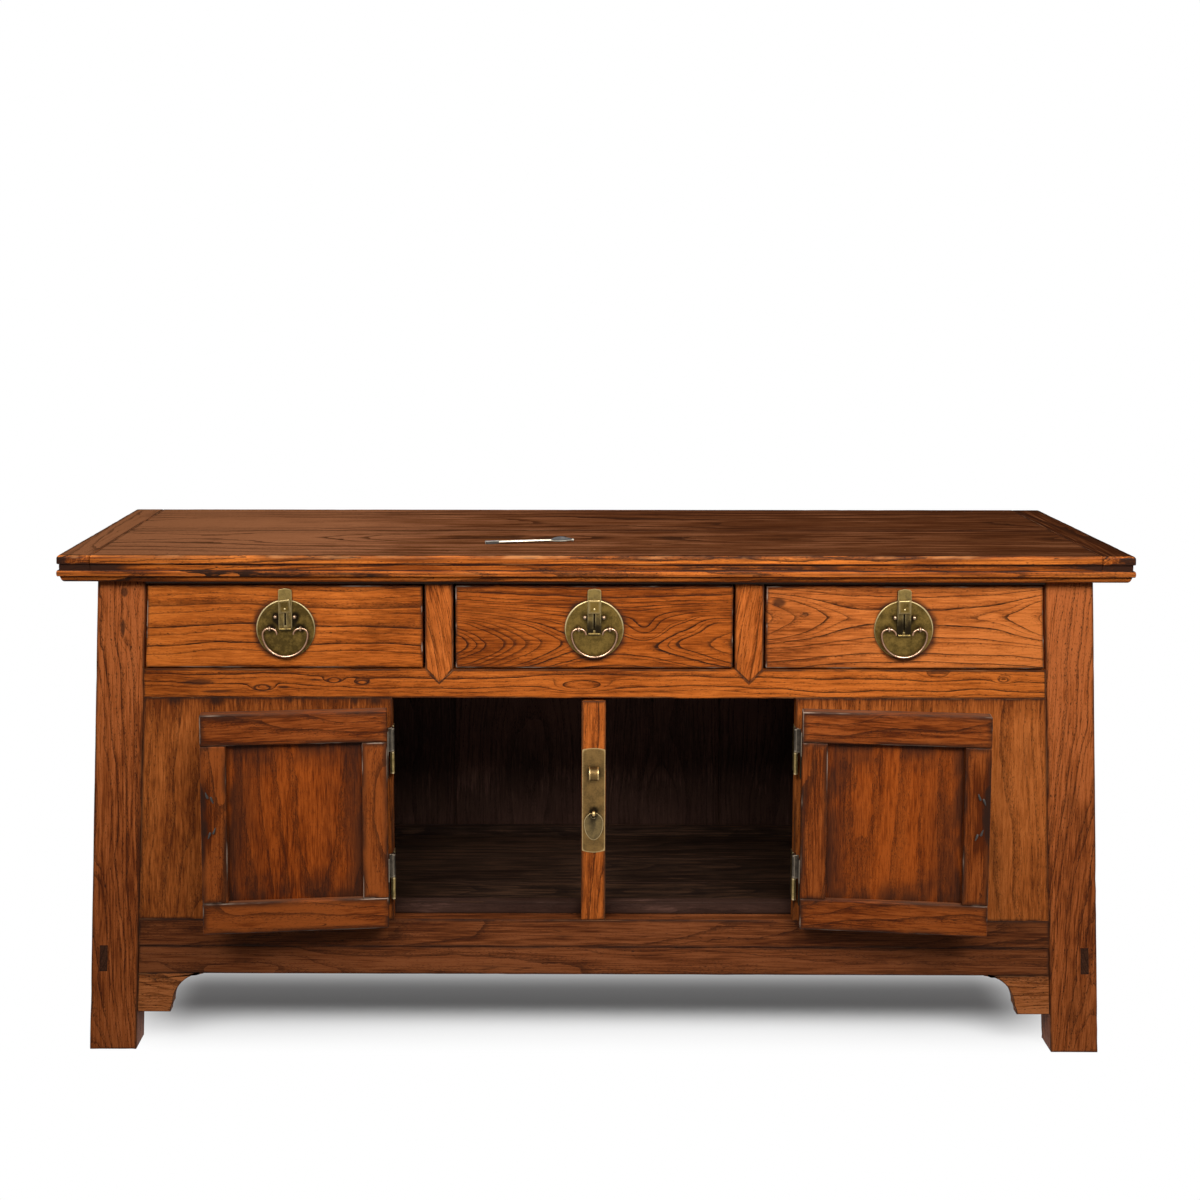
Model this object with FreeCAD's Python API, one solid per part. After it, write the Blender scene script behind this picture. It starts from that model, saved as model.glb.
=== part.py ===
import FreeCAD, Part
import math
import os

Vector = FreeCAD.Vector

# Driving dimensions, in millimetres; X runs along the front, -Y is the front, Z is up
top_width = 1750.0
top_depth = 500.0
height = 850.0
plank_thick = 25.0
moulding_high = 20.0
cleat_width = 55.0
overhang = 25.0
leg_wide = 79.5
leg_deep = 52.0
splay = 0.043
foot_half = 849.8
leg_round = 4.0
mid_rail_low = 608.0
mid_rail_high = 656.0
bottom_rail_low = 182.0
sill = 229.0
apron_low = 133.0
bracket_low = 66.0
opening_half = 333.0
stile_half = 20.0
divider_near = 232.0
divider_far = 278.0
divider_tip = 634.0
drawer_low = 658.0
drawer_high = 796.0
drawer_play = 4.0
door_thick = 24.0
door_low = 231.0
door_high = 597.0
door_open_angle = 174.5
hinge_axis_x = 332.5
hinge_stand_off = 8.0
pull_height = 724.0
pull_spacing = 507.0
disc_radius = 48.5
wire_radius = 1.9
wire_flats = 10

# The origin lies on the floor, centred under the case with its doors standing open,
# so the middle of the case is this far behind it
case_behind_origin = 22.0

# Heights and planes worked out from the driving dimensions
under_planks = height - plank_thick
under_moulding = under_planks - moulding_high
front = -top_depth / 2 + overhang
rear = -front
leg_back = front + leg_deep
rear_leg_front = -leg_back

# Joinery sizes
tenon_long = 35.0
tenon_thick = 14.0
shoulder = 8.0
panel_tongue = 6.0
rail_deep = 45.0
top_rail_low = 799.0
side_rail_inset = 6.0
side_rail_thick = 30.0
side_panel_inset = 14.0
side_panel_thick = 12.0
side_lower_low = 134.0
side_lower_high = 184.0
front_panel_thick = 20.0
apron_thick = 20.0
apron_setback = 1.5
floor_top = 227.0
floor_thick = 18.0
back_rail_high = 246.0
back_board_front = 182.0
back_board_thick = 12.0

saved = {}


def to_space(plane, point, level):
    a, b = point
    if plane == "xy":
        return Vector(a, b, level)
    if plane == "xz":
        return Vector(a, level, b)
    return Vector(level, a, b)


def outline(plane, points, level):
    # A point is the end of a line, and a pair of points is an arc's middle and end
    edges = []
    last = points[0]
    for step in points[1:] + [points[0]]:
        curved = isinstance(step[0], tuple)
        end = step[1] if curved else step
        if end == last:
            continue
        start_point = to_space(plane, last, level)
        end_point = to_space(plane, end, level)
        if curved:
            edge = Part.Arc(start_point, to_space(plane, step[0], level), end_point)
        else:
            edge = Part.LineSegment(start_point, end_point)
        edges.append(edge.toShape())
        last = end
    return Part.Face(Part.Wire(edges))


def prism(plane, points, low, high):
    along = {"xy": Vector(0, 0, 1), "xz": Vector(0, 1, 0), "yz": Vector(1, 0, 0)}[plane]
    return outline(plane, points, low).extrude(along * (high - low))


def box(x0, x1, y0, y1, z0, z1):
    return Part.makeBox(x1 - x0, y1 - y0, z1 - z0, Vector(x0, y0, z0))


def rod(radius, start, end):
    step = end - start
    return Part.makeCylinder(radius, step.Length, start, step)


def joined(first, *others):
    return first.fuse(list(others)).removeSplitter()


def mirrored(shape):
    return shape.mirror(Vector(0, 0, 0), Vector(1, 0, 0))


def save(name, *shapes):
    saved[name] = list(shapes)


def write_all():
    os.makedirs("parts", exist_ok=True)
    shift = Vector(0, case_behind_origin, 0)
    for name, shapes in saved.items():
        solids = []
        for shape in shapes:
            solids.extend(shape.Solids)
        whole = solids[0] if len(solids) == 1 else Part.makeCompound(solids)
        whole.translated(shift).exportStep("parts/" + name + ".step")
        print(name, len(solids), "solids", "valid" if whole.isValid() else "NOT VALID")


def cut_all(names, tools):
    for name in names:
        saved[name] = [shape.cut(tools) for shape in saved[name]]


# Legs lean outwards to the sides, so the case is wider at the floor
def leg_outer(z):
    return foot_half - splay * z


def leg_inner(z):
    return leg_outer(z) - leg_wide


def between_legs(low, high, y0, y1, reach):
    points = [
        (-leg_inner(low) - reach, low),
        (leg_inner(low) + reach, low),
        (leg_inner(high) + reach, high),
        (-leg_inner(high) - reach, high),
    ]
    return prism("xz", points, y0, y1)


def tenoned_rail(low, high, y0, y1):
    middle = (y0 + y1) / 2
    body = between_legs(low, high, y0, y1, 0)
    half = tenon_thick / 2
    tenon = between_legs(low + shoulder, high - shoulder, middle - half, middle + half, tenon_long)
    return joined(body, tenon)


def leaning(inset, thick, low, high, y0, y1):
    # A board on the right-hand side that follows the lean of the legs
    points = [
        (leg_outer(low) - inset - thick, low),
        (leg_outer(low) - inset, low),
        (leg_outer(high) - inset, high),
        (leg_outer(high) - inset - thick, high),
    ]
    return prism("xz", points, y0, y1)


# Table top: two planks between breadboard cleats, over an applied edge moulding
def top_parts():
    groove_deep = 3.0
    groove_high = 12.0
    nose_round = 5.0
    tongue_low = under_planks + 8.0
    tongue_high = tongue_low + 9.0
    tongue_long = 14.0
    tongue_setback = 20.0

    def slab_section(half):
        groove_top = under_planks + groove_high
        bend = nose_round * (1 - math.sqrt(0.5))
        return [
            (-half + groove_deep, under_planks),
            (half - groove_deep, under_planks),
            (half - groove_deep, groove_top),
            (half, groove_top),
            (half, height - nose_round),
            ((half - bend, height - bend), (half - nose_round, height)),
            (-half + nose_round, height),
            ((-half + bend, height - bend), (-half, height - nose_round)),
            (-half, groove_top),
            (-half + groove_deep, groove_top),
        ]

    half_w = top_width / 2
    half_d = top_depth / 2
    along = prism("yz", slab_section(half_d), -half_w, half_w)
    across = prism("xz", slab_section(half_w), -half_d, half_d)
    slab = along.common(across)
    joint = half_w - cleat_width
    room = 10.0

    def tongue(y0, y1):
        return box(-joint - tongue_long, joint + tongue_long, y0, y1, tongue_low, tongue_high)

    for name, y0, y1, t0, t1 in (
        ("top_plank_front", -half_d - room, 0, -half_d + tongue_setback, 0),
        ("top_plank_rear", 0, half_d + room, 0, half_d - tongue_setback),
    ):
        plank = slab.common(box(-joint, joint, y0, y1, under_planks, height + room))
        save(name, joined(plank, tongue(t0, t1)))
    groove = tongue(-half_d + tongue_setback, half_d - tongue_setback)
    end = slab.common(box(joint, half_w + room, -half_d - room, half_d + room, under_planks, height + room))
    cleat = end.cut(groove)
    save("top_cleat_right", cleat)
    save("top_cleat_left", mirrored(cleat))


def moulding_part():
    bead = moulding_high / 2
    bead_in = 3.0
    cove_in = 11.0
    cove_belly = 1.6
    notch_half = 12.5
    notch_deep = 5.4

    def strip_section(half):
        bead_low = under_planks - bead
        cove_mid_x = half - (bead_in + cove_in) / 2 - cove_belly
        cove_mid_z = (bead_low + under_moulding) / 2 + cove_belly
        return [
            (half - bead_in, under_planks),
            (-half + bead_in, under_planks),
            ((-half, under_planks - bead / 2), (-half + bead_in, bead_low)),
            ((-cove_mid_x, cove_mid_z), (-half + cove_in, under_moulding)),
            (half - cove_in, under_moulding),
            ((cove_mid_x, cove_mid_z), (half - bead_in, bead_low)),
            ((half, under_planks - bead / 2), (half - bead_in, under_planks)),
        ]

    half_w = top_width / 2
    half_d = top_depth / 2
    along = prism("yz", strip_section(half_d), -half_w, half_w)
    across = prism("xz", strip_section(half_w), -half_d, half_d)
    inner_w = half_w - overhang
    inner_d = half_d - overhang
    hollow = box(-inner_w, inner_w, -inner_d, inner_d, under_moulding, under_planks)
    frame = along.common(across).cut(hollow)
    # Mitred corners: each strip keeps its own side of the 45 degree lines
    front_zone = prism(
        "xy",
        [(-half_w, -half_d), (half_w, -half_d), (inner_w, -inner_d), (-inner_w, -inner_d)],
        under_moulding,
        under_planks,
    )
    right_zone = prism(
        "xy",
        [(half_w, -half_d), (half_w, half_d), (inner_w, inner_d), (inner_w, -inner_d)],
        under_moulding,
        under_planks,
    )
    front_strip = frame.common(front_zone)
    rear_strip = front_strip.mirror(Vector(0, 0, 0), Vector(0, 1, 0))
    # Notches that take the drawer bolts when they are pushed up
    for x in (-pull_spacing, 0, pull_spacing):
        notch = box(x - notch_half, x + notch_half, front - notch_deep, front, under_moulding, under_planks)
        front_strip = front_strip.cut(notch)
    right_strip = frame.common(right_zone)
    save("top_edge_moulding", front_strip, rear_strip, right_strip, mirrored(right_strip))


# Frame of the case
def legs():
    stub_half_x = 15.0
    stub_half_y = 11.0
    stub_high = 12.0
    for y0, y1, where, outer_y in (
        (front, leg_back, "front", front),
        (rear_leg_front, rear, "rear", rear),
    ):
        points = [(leg_inner(0), y0), (leg_outer(0), y0), (leg_outer(0), y1), (leg_inner(0), y1)]
        rise = Vector(-splay * under_planks, 0, under_planks)
        leg = outline("xy", points, 0).extrude(rise)
        long_edges = []
        for edge in leg.Edges:
            start = edge.Vertexes[0].Point
            tall = abs(edge.Vertexes[1].Point.z - start.z) > under_planks / 2
            at_outside = abs(start.x - leg_outer(start.z)) < 1
            at_face = abs(start.y - outer_y) < 1
            if tall and at_outside and at_face:
                long_edges.append(edge)
        leg = leg.makeFillet(leg_round, long_edges)
        x = leg_outer(under_planks) - leg_wide / 2
        y = (y0 + y1) / 2
        stub = box(
            x - stub_half_x, x + stub_half_x, y - stub_half_y, y + stub_half_y,
            under_planks, under_planks + stub_high,
        )
        leg = joined(leg, stub)
        save(where + "_leg_right", leg)
        save(where + "_leg_left", mirrored(leg))


def front_frame():
    save("front_mid_rail", tenoned_rail(mid_rail_low, mid_rail_high, front, front + rail_deep))
    save("front_bottom_rail", tenoned_rail(bottom_rail_low, sill, front, leg_back))
    apron_front = front + apron_setback
    apron_housing = 12.0
    apron = between_legs(apron_low, bottom_rail_low, apron_front, apron_front + apron_thick, apron_housing)
    save("front_apron", apron)

    # Spandrel bracket: a quarter-round bite, then a small lobe above the toe
    bite_x = 655.0
    bite_radius = 52.0
    lobe_x = 712.0
    lobe_belly = 1.0
    lobe_drop = 5.0
    slant = bite_radius * math.sqrt(0.5)
    toe_top = apron_low - bite_radius
    points = [
        (leg_inner(apron_low), apron_low),
        (bite_x, apron_low),
        ((bite_x + slant, toe_top + slant), (bite_x + bite_radius, toe_top)),
        ((lobe_x - lobe_belly, toe_top - lobe_drop), (lobe_x, bracket_low)),
        (leg_inner(bracket_low), bracket_low),
    ]
    bracket = prism("xz", points, apron_front, apron_front + apron_thick)
    save("apron_bracket_right", bracket)
    save("apron_bracket_left", mirrored(bracket))

    # Divider between two drawers, with a pointed shoulder let into the rail below
    divider_thick = 22.0
    middle = (divider_near + divider_far) / 2
    points = [
        (divider_near, mid_rail_high),
        (middle, divider_tip),
        (divider_far, mid_rail_high),
        (divider_far, top_rail_low),
        (divider_near, top_rail_low),
    ]
    divider = prism("xz", points, front, front + divider_thick)
    save("drawer_dividers", mirrored(divider), divider)

    # Fixed panel between the leg and the door opening, tongued into the rails and the leg
    def panel(spread, y0, y1):
        low = sill - spread
        high = mid_rail_low + spread
        shape = [
            (opening_half, low),
            (leg_inner(low) + spread, low),
            (leg_inner(high) + spread, high),
            (opening_half, high),
        ]
        return prism("xz", shape, y0, y1)

    tongue_front = front + 7.0
    tongue_thick = 8.0
    board = panel(0, front, front + front_panel_thick)
    tongue = panel(panel_tongue, tongue_front, tongue_front + tongue_thick)
    fixed = joined(board, tongue)
    save("front_panel_right", fixed)
    save("front_panel_left", mirrored(fixed))


def side_frame():
    def rail(low, high, tenon_low, tenon_high, front_reach, rear_reach):
        body = leaning(side_rail_inset, side_rail_thick, low, high, leg_back, rear_leg_front)
        tenon = leaning(
            side_panel_inset, tenon_thick, tenon_low, tenon_high,
            leg_back - front_reach, rear_leg_front + rear_reach,
        )
        return joined(body, tenon)

    # The tenons of the lower rails go right through the legs and show in their faces
    recess = 0.6
    small_shoulder = 1.0
    through = leg_deep - recess
    tenon_low = side_lower_low + small_shoulder
    tenon_high = side_lower_high - small_shoulder
    lower = rail(side_lower_low, side_lower_high, tenon_low, tenon_high, through, through)
    stub = 30.0
    middle = rail(mid_rail_low, mid_rail_high, mid_rail_low + shoulder, mid_rail_high - shoulder, stub, stub)
    save("side_rails", lower, middle, mirrored(lower), mirrored(middle))
    panels = []
    panel_inset = side_panel_inset + (tenon_thick - side_panel_thick) / 2
    for low, high in ((side_lower_high, mid_rail_low), (mid_rail_high, top_rail_low)):
        panel = leaning(
            panel_inset, side_panel_thick, low - panel_tongue, high + panel_tongue,
            leg_back - panel_tongue, rear_leg_front + panel_tongue,
        )
        panels.extend([panel, mirrored(panel)])
    save("side_panels", *panels)

    top_rail_deep = 35.0
    top_shoulder = 6.0
    front_rail = tenoned_rail(top_rail_low, under_planks, front, front + top_rail_deep)
    rear_rail = tenoned_rail(top_rail_low, under_planks, rear - top_rail_deep, rear)
    side_rail = rail(
        top_rail_low, under_planks, top_rail_low + top_shoulder, under_planks - top_shoulder, stub, stub,
    )
    save("top_frame_rails", front_rail, rear_rail, side_rail, mirrored(side_rail))

    # Battens across the planks, tapered a little as driven dovetail battens are
    batten_half = 20.0
    batten_taper = 2.0
    batten_low = top_rail_low + 1.0
    batten_gap = 0.5
    x = (divider_near + divider_far) / 2
    y0 = front + top_rail_deep
    y1 = back_board_front - batten_gap
    points = [
        (x - batten_half, y0),
        (x + batten_half, y0),
        (x + batten_half - batten_taper, y1),
        (x - batten_half + batten_taper, y1),
    ]
    batten = prism("xy", points, batten_low, under_planks)
    save("top_battens", batten, mirrored(batten))


def back_frame():
    rail_back = rear - 10.0
    lower = tenoned_rail(bottom_rail_low, back_rail_high, rear_leg_front, rail_back)
    middle = tenoned_rail(mid_rail_low, mid_rail_high, rear_leg_front, rail_back)
    save("back_rails", lower, middle)
    # Upright boards below, and one lying board behind the drawers
    board_count = 6
    low = back_rail_high - panel_tongue
    high = mid_rail_low + panel_tongue
    y0 = back_board_front
    y1 = back_board_front + back_board_thick
    field = between_legs(low, high, y0, y1, panel_tongue)
    step = 2 * (leg_inner(low) + panel_tongue) / board_count
    seam = 0.8
    boards = []
    for i in range(board_count):
        x0 = -leg_inner(low) - panel_tongue + i * step
        boards.append(field.common(box(x0 + seam / 2, x0 + step - seam / 2, y0, y1, low, high)))
    lying = between_legs(mid_rail_high - panel_tongue, top_rail_low + panel_tongue, y0, y1, panel_tongue)
    save("back_boards", *boards, lying)


def floor_and_runners():
    board_count = 3
    floor_low = floor_top - floor_thick
    end_gap = 3.0
    half_x = leg_outer(floor_top) - side_panel_inset - side_panel_thick - end_gap
    step = (rear_leg_front - leg_back) / board_count
    seam = 0.8
    boards = []
    for i in range(board_count):
        y0 = leg_back + i * step
        boards.append(box(-half_x, half_x, y0 + seam / 2, y0 + step - seam / 2, floor_low, floor_top))
    save("floor_boards", *boards)
    bearer_half = 25.0
    bearer_low = bottom_rail_low + 2.0
    bearer_spacing = 533.0
    bearers = []
    for x in (-bearer_spacing, 0, bearer_spacing):
        bearers.append(
            box(x - bearer_half, x + bearer_half, leg_back, rear_leg_front, bearer_low, floor_low)
        )
    save("floor_bearers", *bearers)
    # Low strip behind the doors and the centre stile that they close against
    stop_front = front + door_thick + 1
    stop_thick = 18.0
    stop_high = 21.0
    stop_past = 50.0
    save(
        "door_stop",
        box(
            -opening_half - stop_past, opening_half + stop_past,
            stop_front, stop_front + stop_thick, sill, sill + stop_high,
        ),
    )
    # Runners under the drawers, with a guide standing between neighbours
    runner_low = 638.0
    guide_high = 690.0
    ledge = 26.0
    runner_top = drawer_low - 1
    y0 = front + rail_deep
    inner_guide = [
        (divider_near - ledge, runner_low),
        (divider_far + ledge, runner_low),
        (divider_far + ledge, runner_top),
        (divider_far, runner_top),
        (divider_far, guide_high),
        (divider_near, guide_high),
        (divider_near, runner_top),
        (divider_near - ledge, runner_top),
    ]
    middle = prism("xz", inner_guide, y0, rear_leg_front)
    outer_x = leg_inner(drawer_high)
    side_face = leg_outer(mid_rail_high) - side_rail_inset - side_rail_thick
    outer_guide = [
        (outer_x - ledge, runner_low),
        (side_face, runner_low),
        (side_face, guide_high),
        (outer_x, guide_high),
        (outer_x, runner_top),
        (outer_x - ledge, runner_top),
    ]
    outer = prism("xz", outer_guide, leg_back, rear_leg_front)
    save("drawer_runners", middle, mirrored(middle), outer, mirrored(outer))


# Lock fittings shared by the centre stile and the doors
lock_plate_half_width = 19.0
lock_plate_low = 349.0
lock_plate_high = 521.0
lock_plate_arch = 3.0
lock_plate_edge = 1.0
lock_plate_crown = 1.0
lock_plate_front = lock_plate_edge + lock_plate_crown
staple_height = 481.0
staple_half_wide = 6.5
staple_half_high = 11.5
staple_out = 13.0
staple_hole_radius = 4.2
staple_hole_out = 6.2
eye_height = 414.0
eye_out = 4.0
eye_radius = 3.6
eye_half_thick = 1.5
pendant_bar_radius = 1.4
pendant_thick = 1.6
pendant_long = 45.0
pendant_half_wide = 16.0


def lock_plate(x, half, face_y):
    # Crowned plate whose ends are gently arched
    crown = [
        (x - half, face_y),
        (x + half, face_y),
        (x + half, face_y - lock_plate_edge),
        ((x, face_y - lock_plate_front), (x - half, face_y - lock_plate_edge)),
    ]
    room = lock_plate_arch
    body = prism("xy", crown, lock_plate_low - room, lock_plate_high + room)
    ends = [
        (x - half, lock_plate_low),
        ((x, lock_plate_low - lock_plate_arch), (x + half, lock_plate_low)),
        (x + half, lock_plate_high),
        ((x, lock_plate_high + lock_plate_arch), (x - half, lock_plate_high)),
    ]
    return body.common(prism("xz", ends, face_y - lock_plate_front, face_y))


def staple(x, face_y):
    # A strap bent out into a loop, open from side to side for the lock pin
    y = face_y - lock_plate_front
    z = staple_height
    half = staple_half_high
    section = [
        (y, z - half),
        ((y - staple_out, z), (y, z + half)),
    ]
    loop = prism("yz", section, x - staple_half_wide, x + staple_half_wide)
    hole_y = y - staple_hole_out
    hole = rod(
        staple_hole_radius,
        Vector(x - 2 * staple_half_wide, hole_y, z),
        Vector(x + 2 * staple_half_wide, hole_y, z),
    )
    return loop.cut(hole)


def ring_eye(x, z, plate_y, out, radius, half_thick, hole_radius):
    # A ring on a short shank, its hole running along X
    y = plate_y - out
    ring = rod(radius, Vector(x - half_thick, y, z), Vector(x + half_thick, y, z))
    shank = box(x - half_thick, x + half_thick, y, plate_y, z - half_thick, z + half_thick)
    hole = rod(hole_radius, Vector(x - 2 * half_thick, y, z), Vector(x + 2 * half_thick, y, z))
    return joined(ring, shank).cut(hole)


def pendant(x, face_y):
    # Drop-shaped finger plate, hung by a round bar through its eye
    y = face_y - lock_plate_front - eye_out
    z = eye_height
    slot_half = 3.2
    slot_deep = 6.0
    cheek = 1.5
    shoulder_drop = 15.0
    half = pendant_half_wide
    neck = slot_half + cheek
    upper_bulge = half * 0.78
    lower_bulge = half * 0.66
    wide_z = z - shoulder_drop
    upper_z = wide_z + 8.0
    tip_z = z - pendant_long
    lower_z = tip_z + 9.0
    points = [
        (x - neck, z),
        ((x - upper_bulge, upper_z), (x - half, wide_z)),
        ((x - lower_bulge, lower_z), (x, tip_z)),
        ((x + lower_bulge, lower_z), (x + half, wide_z)),
        ((x + upper_bulge, upper_z), (x + neck, z)),
    ]
    plate = prism("xz", points, y - pendant_thick / 2, y + pendant_thick / 2)
    slot = box(x - slot_half, x + slot_half, y - pendant_thick, y + pendant_thick, z - slot_deep, z + cheek)
    plate = plate.cut(slot)
    bar = rod(pendant_bar_radius, Vector(x - neck, y, z), Vector(x + neck, y, z))
    return joined(plate, bar)


def lock_fittings(prefix, x, half, face_y, place):
    plate_y = face_y - lock_plate_front
    clearance = 0.15
    eye = ring_eye(
        x, eye_height, plate_y, eye_out, eye_radius, eye_half_thick, pendant_bar_radius + clearance
    )
    save(prefix + "_lock_plate", place(lock_plate(x, half, face_y)))
    save(prefix + "_lock_eyes", place(staple(x, face_y)), place(eye))
    save(prefix + "_pendant", place(pendant(x, face_y)))


def unmoved(shape):
    return shape


# Loose stile between the doors: it lifts until its lower tongue clears the sill
def centre_stile():
    stile_top = 603.0
    rest_gap = 0.2
    tongue_half_wide = 13.0
    tongue_half_thick = 4.5
    top_tongue = 13.0
    bottom_tongue = 4.0
    lift_room = 6.5
    fit = 0.6
    middle = front + door_thick / 2
    low = sill + rest_gap
    post = box(-stile_half, stile_half, front, front + door_thick, low, stile_top)
    tongue = box(
        -tongue_half_wide, tongue_half_wide, middle - tongue_half_thick, middle + tongue_half_thick,
        low - bottom_tongue, stile_top + top_tongue,
    )
    save("centre_stile", joined(post, tongue))
    socket_x = tongue_half_wide + fit
    socket_y = tongue_half_thick + fit
    for name, z0, z1 in (
        ("front_bottom_rail", low - bottom_tongue - fit, sill),
        ("front_mid_rail", mid_rail_low, stile_top + top_tongue + lift_room),
    ):
        socket = box(-socket_x, socket_x, middle - socket_y, middle + socket_y, z0, z1)
        cut_all([name], [socket])
    lock_fittings("stile", 0, lock_plate_half_width, front, unmoved)


# Doors: full-width rails over the stiles, and a plain board set in grooves
def door(side):
    name = "door_right" if side > 0 else "door_left"
    hinge_gap = 8.0
    free_gap = 2.5
    rail_high = 52.0
    stile_wide = 42.0
    panel_thick = 9.0
    panel_front_inset = 4.0
    housing = 7.0
    edge_round = 2.0
    hinge_edge = hinge_axis_x - hinge_gap
    free_edge = stile_half + free_gap
    back = front + door_thick

    def hung(shape):
        if side < 0:
            shape = mirrored(shape)
        axis_point = Vector(side * hinge_axis_x, front - hinge_stand_off, 0)
        turned = shape.copy()
        turned.rotate(axis_point, Vector(0, 0, 1), side * door_open_angle)
        return turned

    panel_y0 = front + panel_front_inset
    panel_y1 = panel_y0 + panel_thick
    panel = box(
        free_edge + stile_wide - housing, hinge_edge - stile_wide + housing, panel_y0, panel_y1,
        door_low + rail_high - housing, door_high - rail_high + housing,
    )

    def rounded(board, flat_z):
        # Worn long edges along the outside of the door
        edges = []
        for edge in board.Edges:
            if all(abs(v.Point.z - flat_z) < 0.1 for v in edge.Vertexes) and edge.Length > stile_wide * 2:
                edges.append(edge)
        return board.makeFillet(edge_round, edges)

    tenon_side = 8.0
    tenon_y0 = back - 14.0
    tenon_y1 = back - 5.0
    tenon_end = 16.0
    pieces = []
    for low, high, flat_z in (
        (door_low, door_low + rail_high, door_low),
        (door_high - rail_high, door_high, door_high),
    ):
        pieces.append(rounded(box(free_edge, hinge_edge, front, back, low, high), flat_z))
    for x0, x1 in ((free_edge, free_edge + stile_wide), (hinge_edge - stile_wide, hinge_edge)):
        upright = box(x0, x1, front, back, door_low + rail_high, door_high - rail_high)
        tenon = box(
            x0 + tenon_side, x1 - tenon_side, tenon_y0, tenon_y1,
            door_low + tenon_end, door_high - tenon_end,
        )
        upright = joined(upright, tenon)
        pieces = [piece.cut(upright) for piece in pieces[:2]] + pieces[2:] + [upright]
    pieces = [piece.cut(panel) for piece in pieces]
    save(name + "_frame", *[hung(piece) for piece in pieces])
    save(name + "_panel", hung(panel))
    plate_half = 16.0
    lock_fittings(name, free_edge + plate_half, plate_half, front, hung)

    # Lift-off hinges: pin and lower knuckle stay on the case, the upper knuckle lifts with the door
    barrel = 3.8
    pin = 2.0
    pin_fit = 0.05
    knuckle_gap = 0.3
    leaf = 1.6
    half_high = 39.0
    hinge_heights = (307.5, 521.5)
    leaf_start = front + 1.0
    leaf_end = front + 18.0
    pin_short = 4.0
    axis_y = front - hinge_stand_off
    jamb = opening_half
    case_leaves = []
    door_leaves = []
    for centre in hinge_heights:
        low = centre - half_high
        high = centre + half_high
        split = centre - 1.0
        pin_top = high - pin_short
        lower = rod(barrel, Vector(hinge_axis_x, axis_y, low), Vector(hinge_axis_x, axis_y, split))
        post = rod(pin, Vector(hinge_axis_x, axis_y, split), Vector(hinge_axis_x, axis_y, pin_top))
        arm = box(jamb - leaf, jamb, axis_y, leaf_end, low, split)
        flap = box(jamb - leaf, jamb, leaf_start, leaf_end, split, high)
        case_leaf = joined(lower, post, arm, flap)
        case_leaves.append(case_leaf if side > 0 else mirrored(case_leaf))
        upper_low = split + knuckle_gap
        upper = rod(barrel, Vector(hinge_axis_x, axis_y, upper_low), Vector(hinge_axis_x, axis_y, high))
        bend_y = axis_y + barrel - leaf
        reach = box(hinge_edge, hinge_axis_x, bend_y, bend_y + leaf, upper_low, high)
        plate = box(hinge_edge, hinge_edge + leaf, bend_y, leaf_end, upper_low, high)
        tail = box(hinge_edge, hinge_edge + leaf, leaf_start, leaf_end, low, upper_low)
        bore = rod(
            pin + pin_fit,
            Vector(hinge_axis_x, axis_y, upper_low),
            Vector(hinge_axis_x, axis_y, pin_top + knuckle_gap),
        )
        door_leaves.append(hung(joined(upper, reach, plate, tail).cut(bore)))
    save(name + "_hinge_leaves", *door_leaves)
    return case_leaves


# Drawers: front, low sides lapped into it, back, and a bottom in grooves
def drawer(name, near, far, bolt_roll_drop):
    front_thick = 20.0
    side_thick = 13.0
    side_setback = 4.0
    lap = 9.0
    side_high = 788.0
    box_back = 150.0
    bottom_thick = 9.0
    bottom_low = drawer_low + 8.0
    gap = 2.5
    edge_round = 1.5
    middle = 0.0
    outer_drawer = far > opening_half
    if outer_drawer:
        # The outer end follows the lean of the leg beside it
        points = [
            (near, drawer_low),
            (leg_inner(drawer_low) - gap, drawer_low),
            (leg_inner(drawer_high) - gap, drawer_high),
            (near, drawer_high),
        ]
        middle = pull_spacing
    else:
        points = [(near, drawer_low), (far, drawer_low), (far, drawer_high), (near, drawer_high)]
    board = prism("xz", points, front, front + front_thick)
    edges = []
    for edge in board.Edges:
        if all(abs(v.Point.y - front) < 0.1 for v in edge.Vertexes):
            edges.append(edge)
    board = board.makeFillet(edge_round, edges)

    x0 = near + side_setback
    x1 = far - side_setback
    lap_y = front + front_thick - lap
    near_side = box(x0, x0 + side_thick, lap_y, box_back, drawer_low, side_high)
    far_side = box(x1 - side_thick, x1, lap_y, box_back, drawer_low, side_high)
    back = box(
        x0 + side_thick, x1 - side_thick, box_back - side_thick, box_back,
        bottom_low + bottom_thick, side_high,
    )
    groove = side_thick / 2
    bottom = box(
        x0 + groove, x1 - groove, front + front_thick - groove, box_back,
        bottom_low, bottom_low + bottom_thick,
    )
    board = board.cut([near_side, far_side, bottom])
    sides = [near_side.cut(bottom), far_side.cut(bottom)]
    flip = mirrored if name == "drawer_left" else unmoved
    save(name + "_front", flip(board))
    save(name + "_box", *[flip(piece) for piece in sides + [back, bottom]])
    pull(name, -middle if name == "drawer_left" else middle, bolt_roll_drop)


# Drawer pull: disc, slide bolt held by a riveted cover, lock eyes, and a bail hung in two eyes
disc_thick = 1.8
disc_front = front - disc_thick
bail_radius = 37.0
bail_end_radius = 9.8
bail_straight = 3.8
bail_eye_half = bail_radius - bail_end_radius - bail_straight / 2
bail_centre_drop = 8.5
bail_axis_height = pull_height - bail_centre_drop + bail_end_radius
bail_out = 5.5


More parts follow.
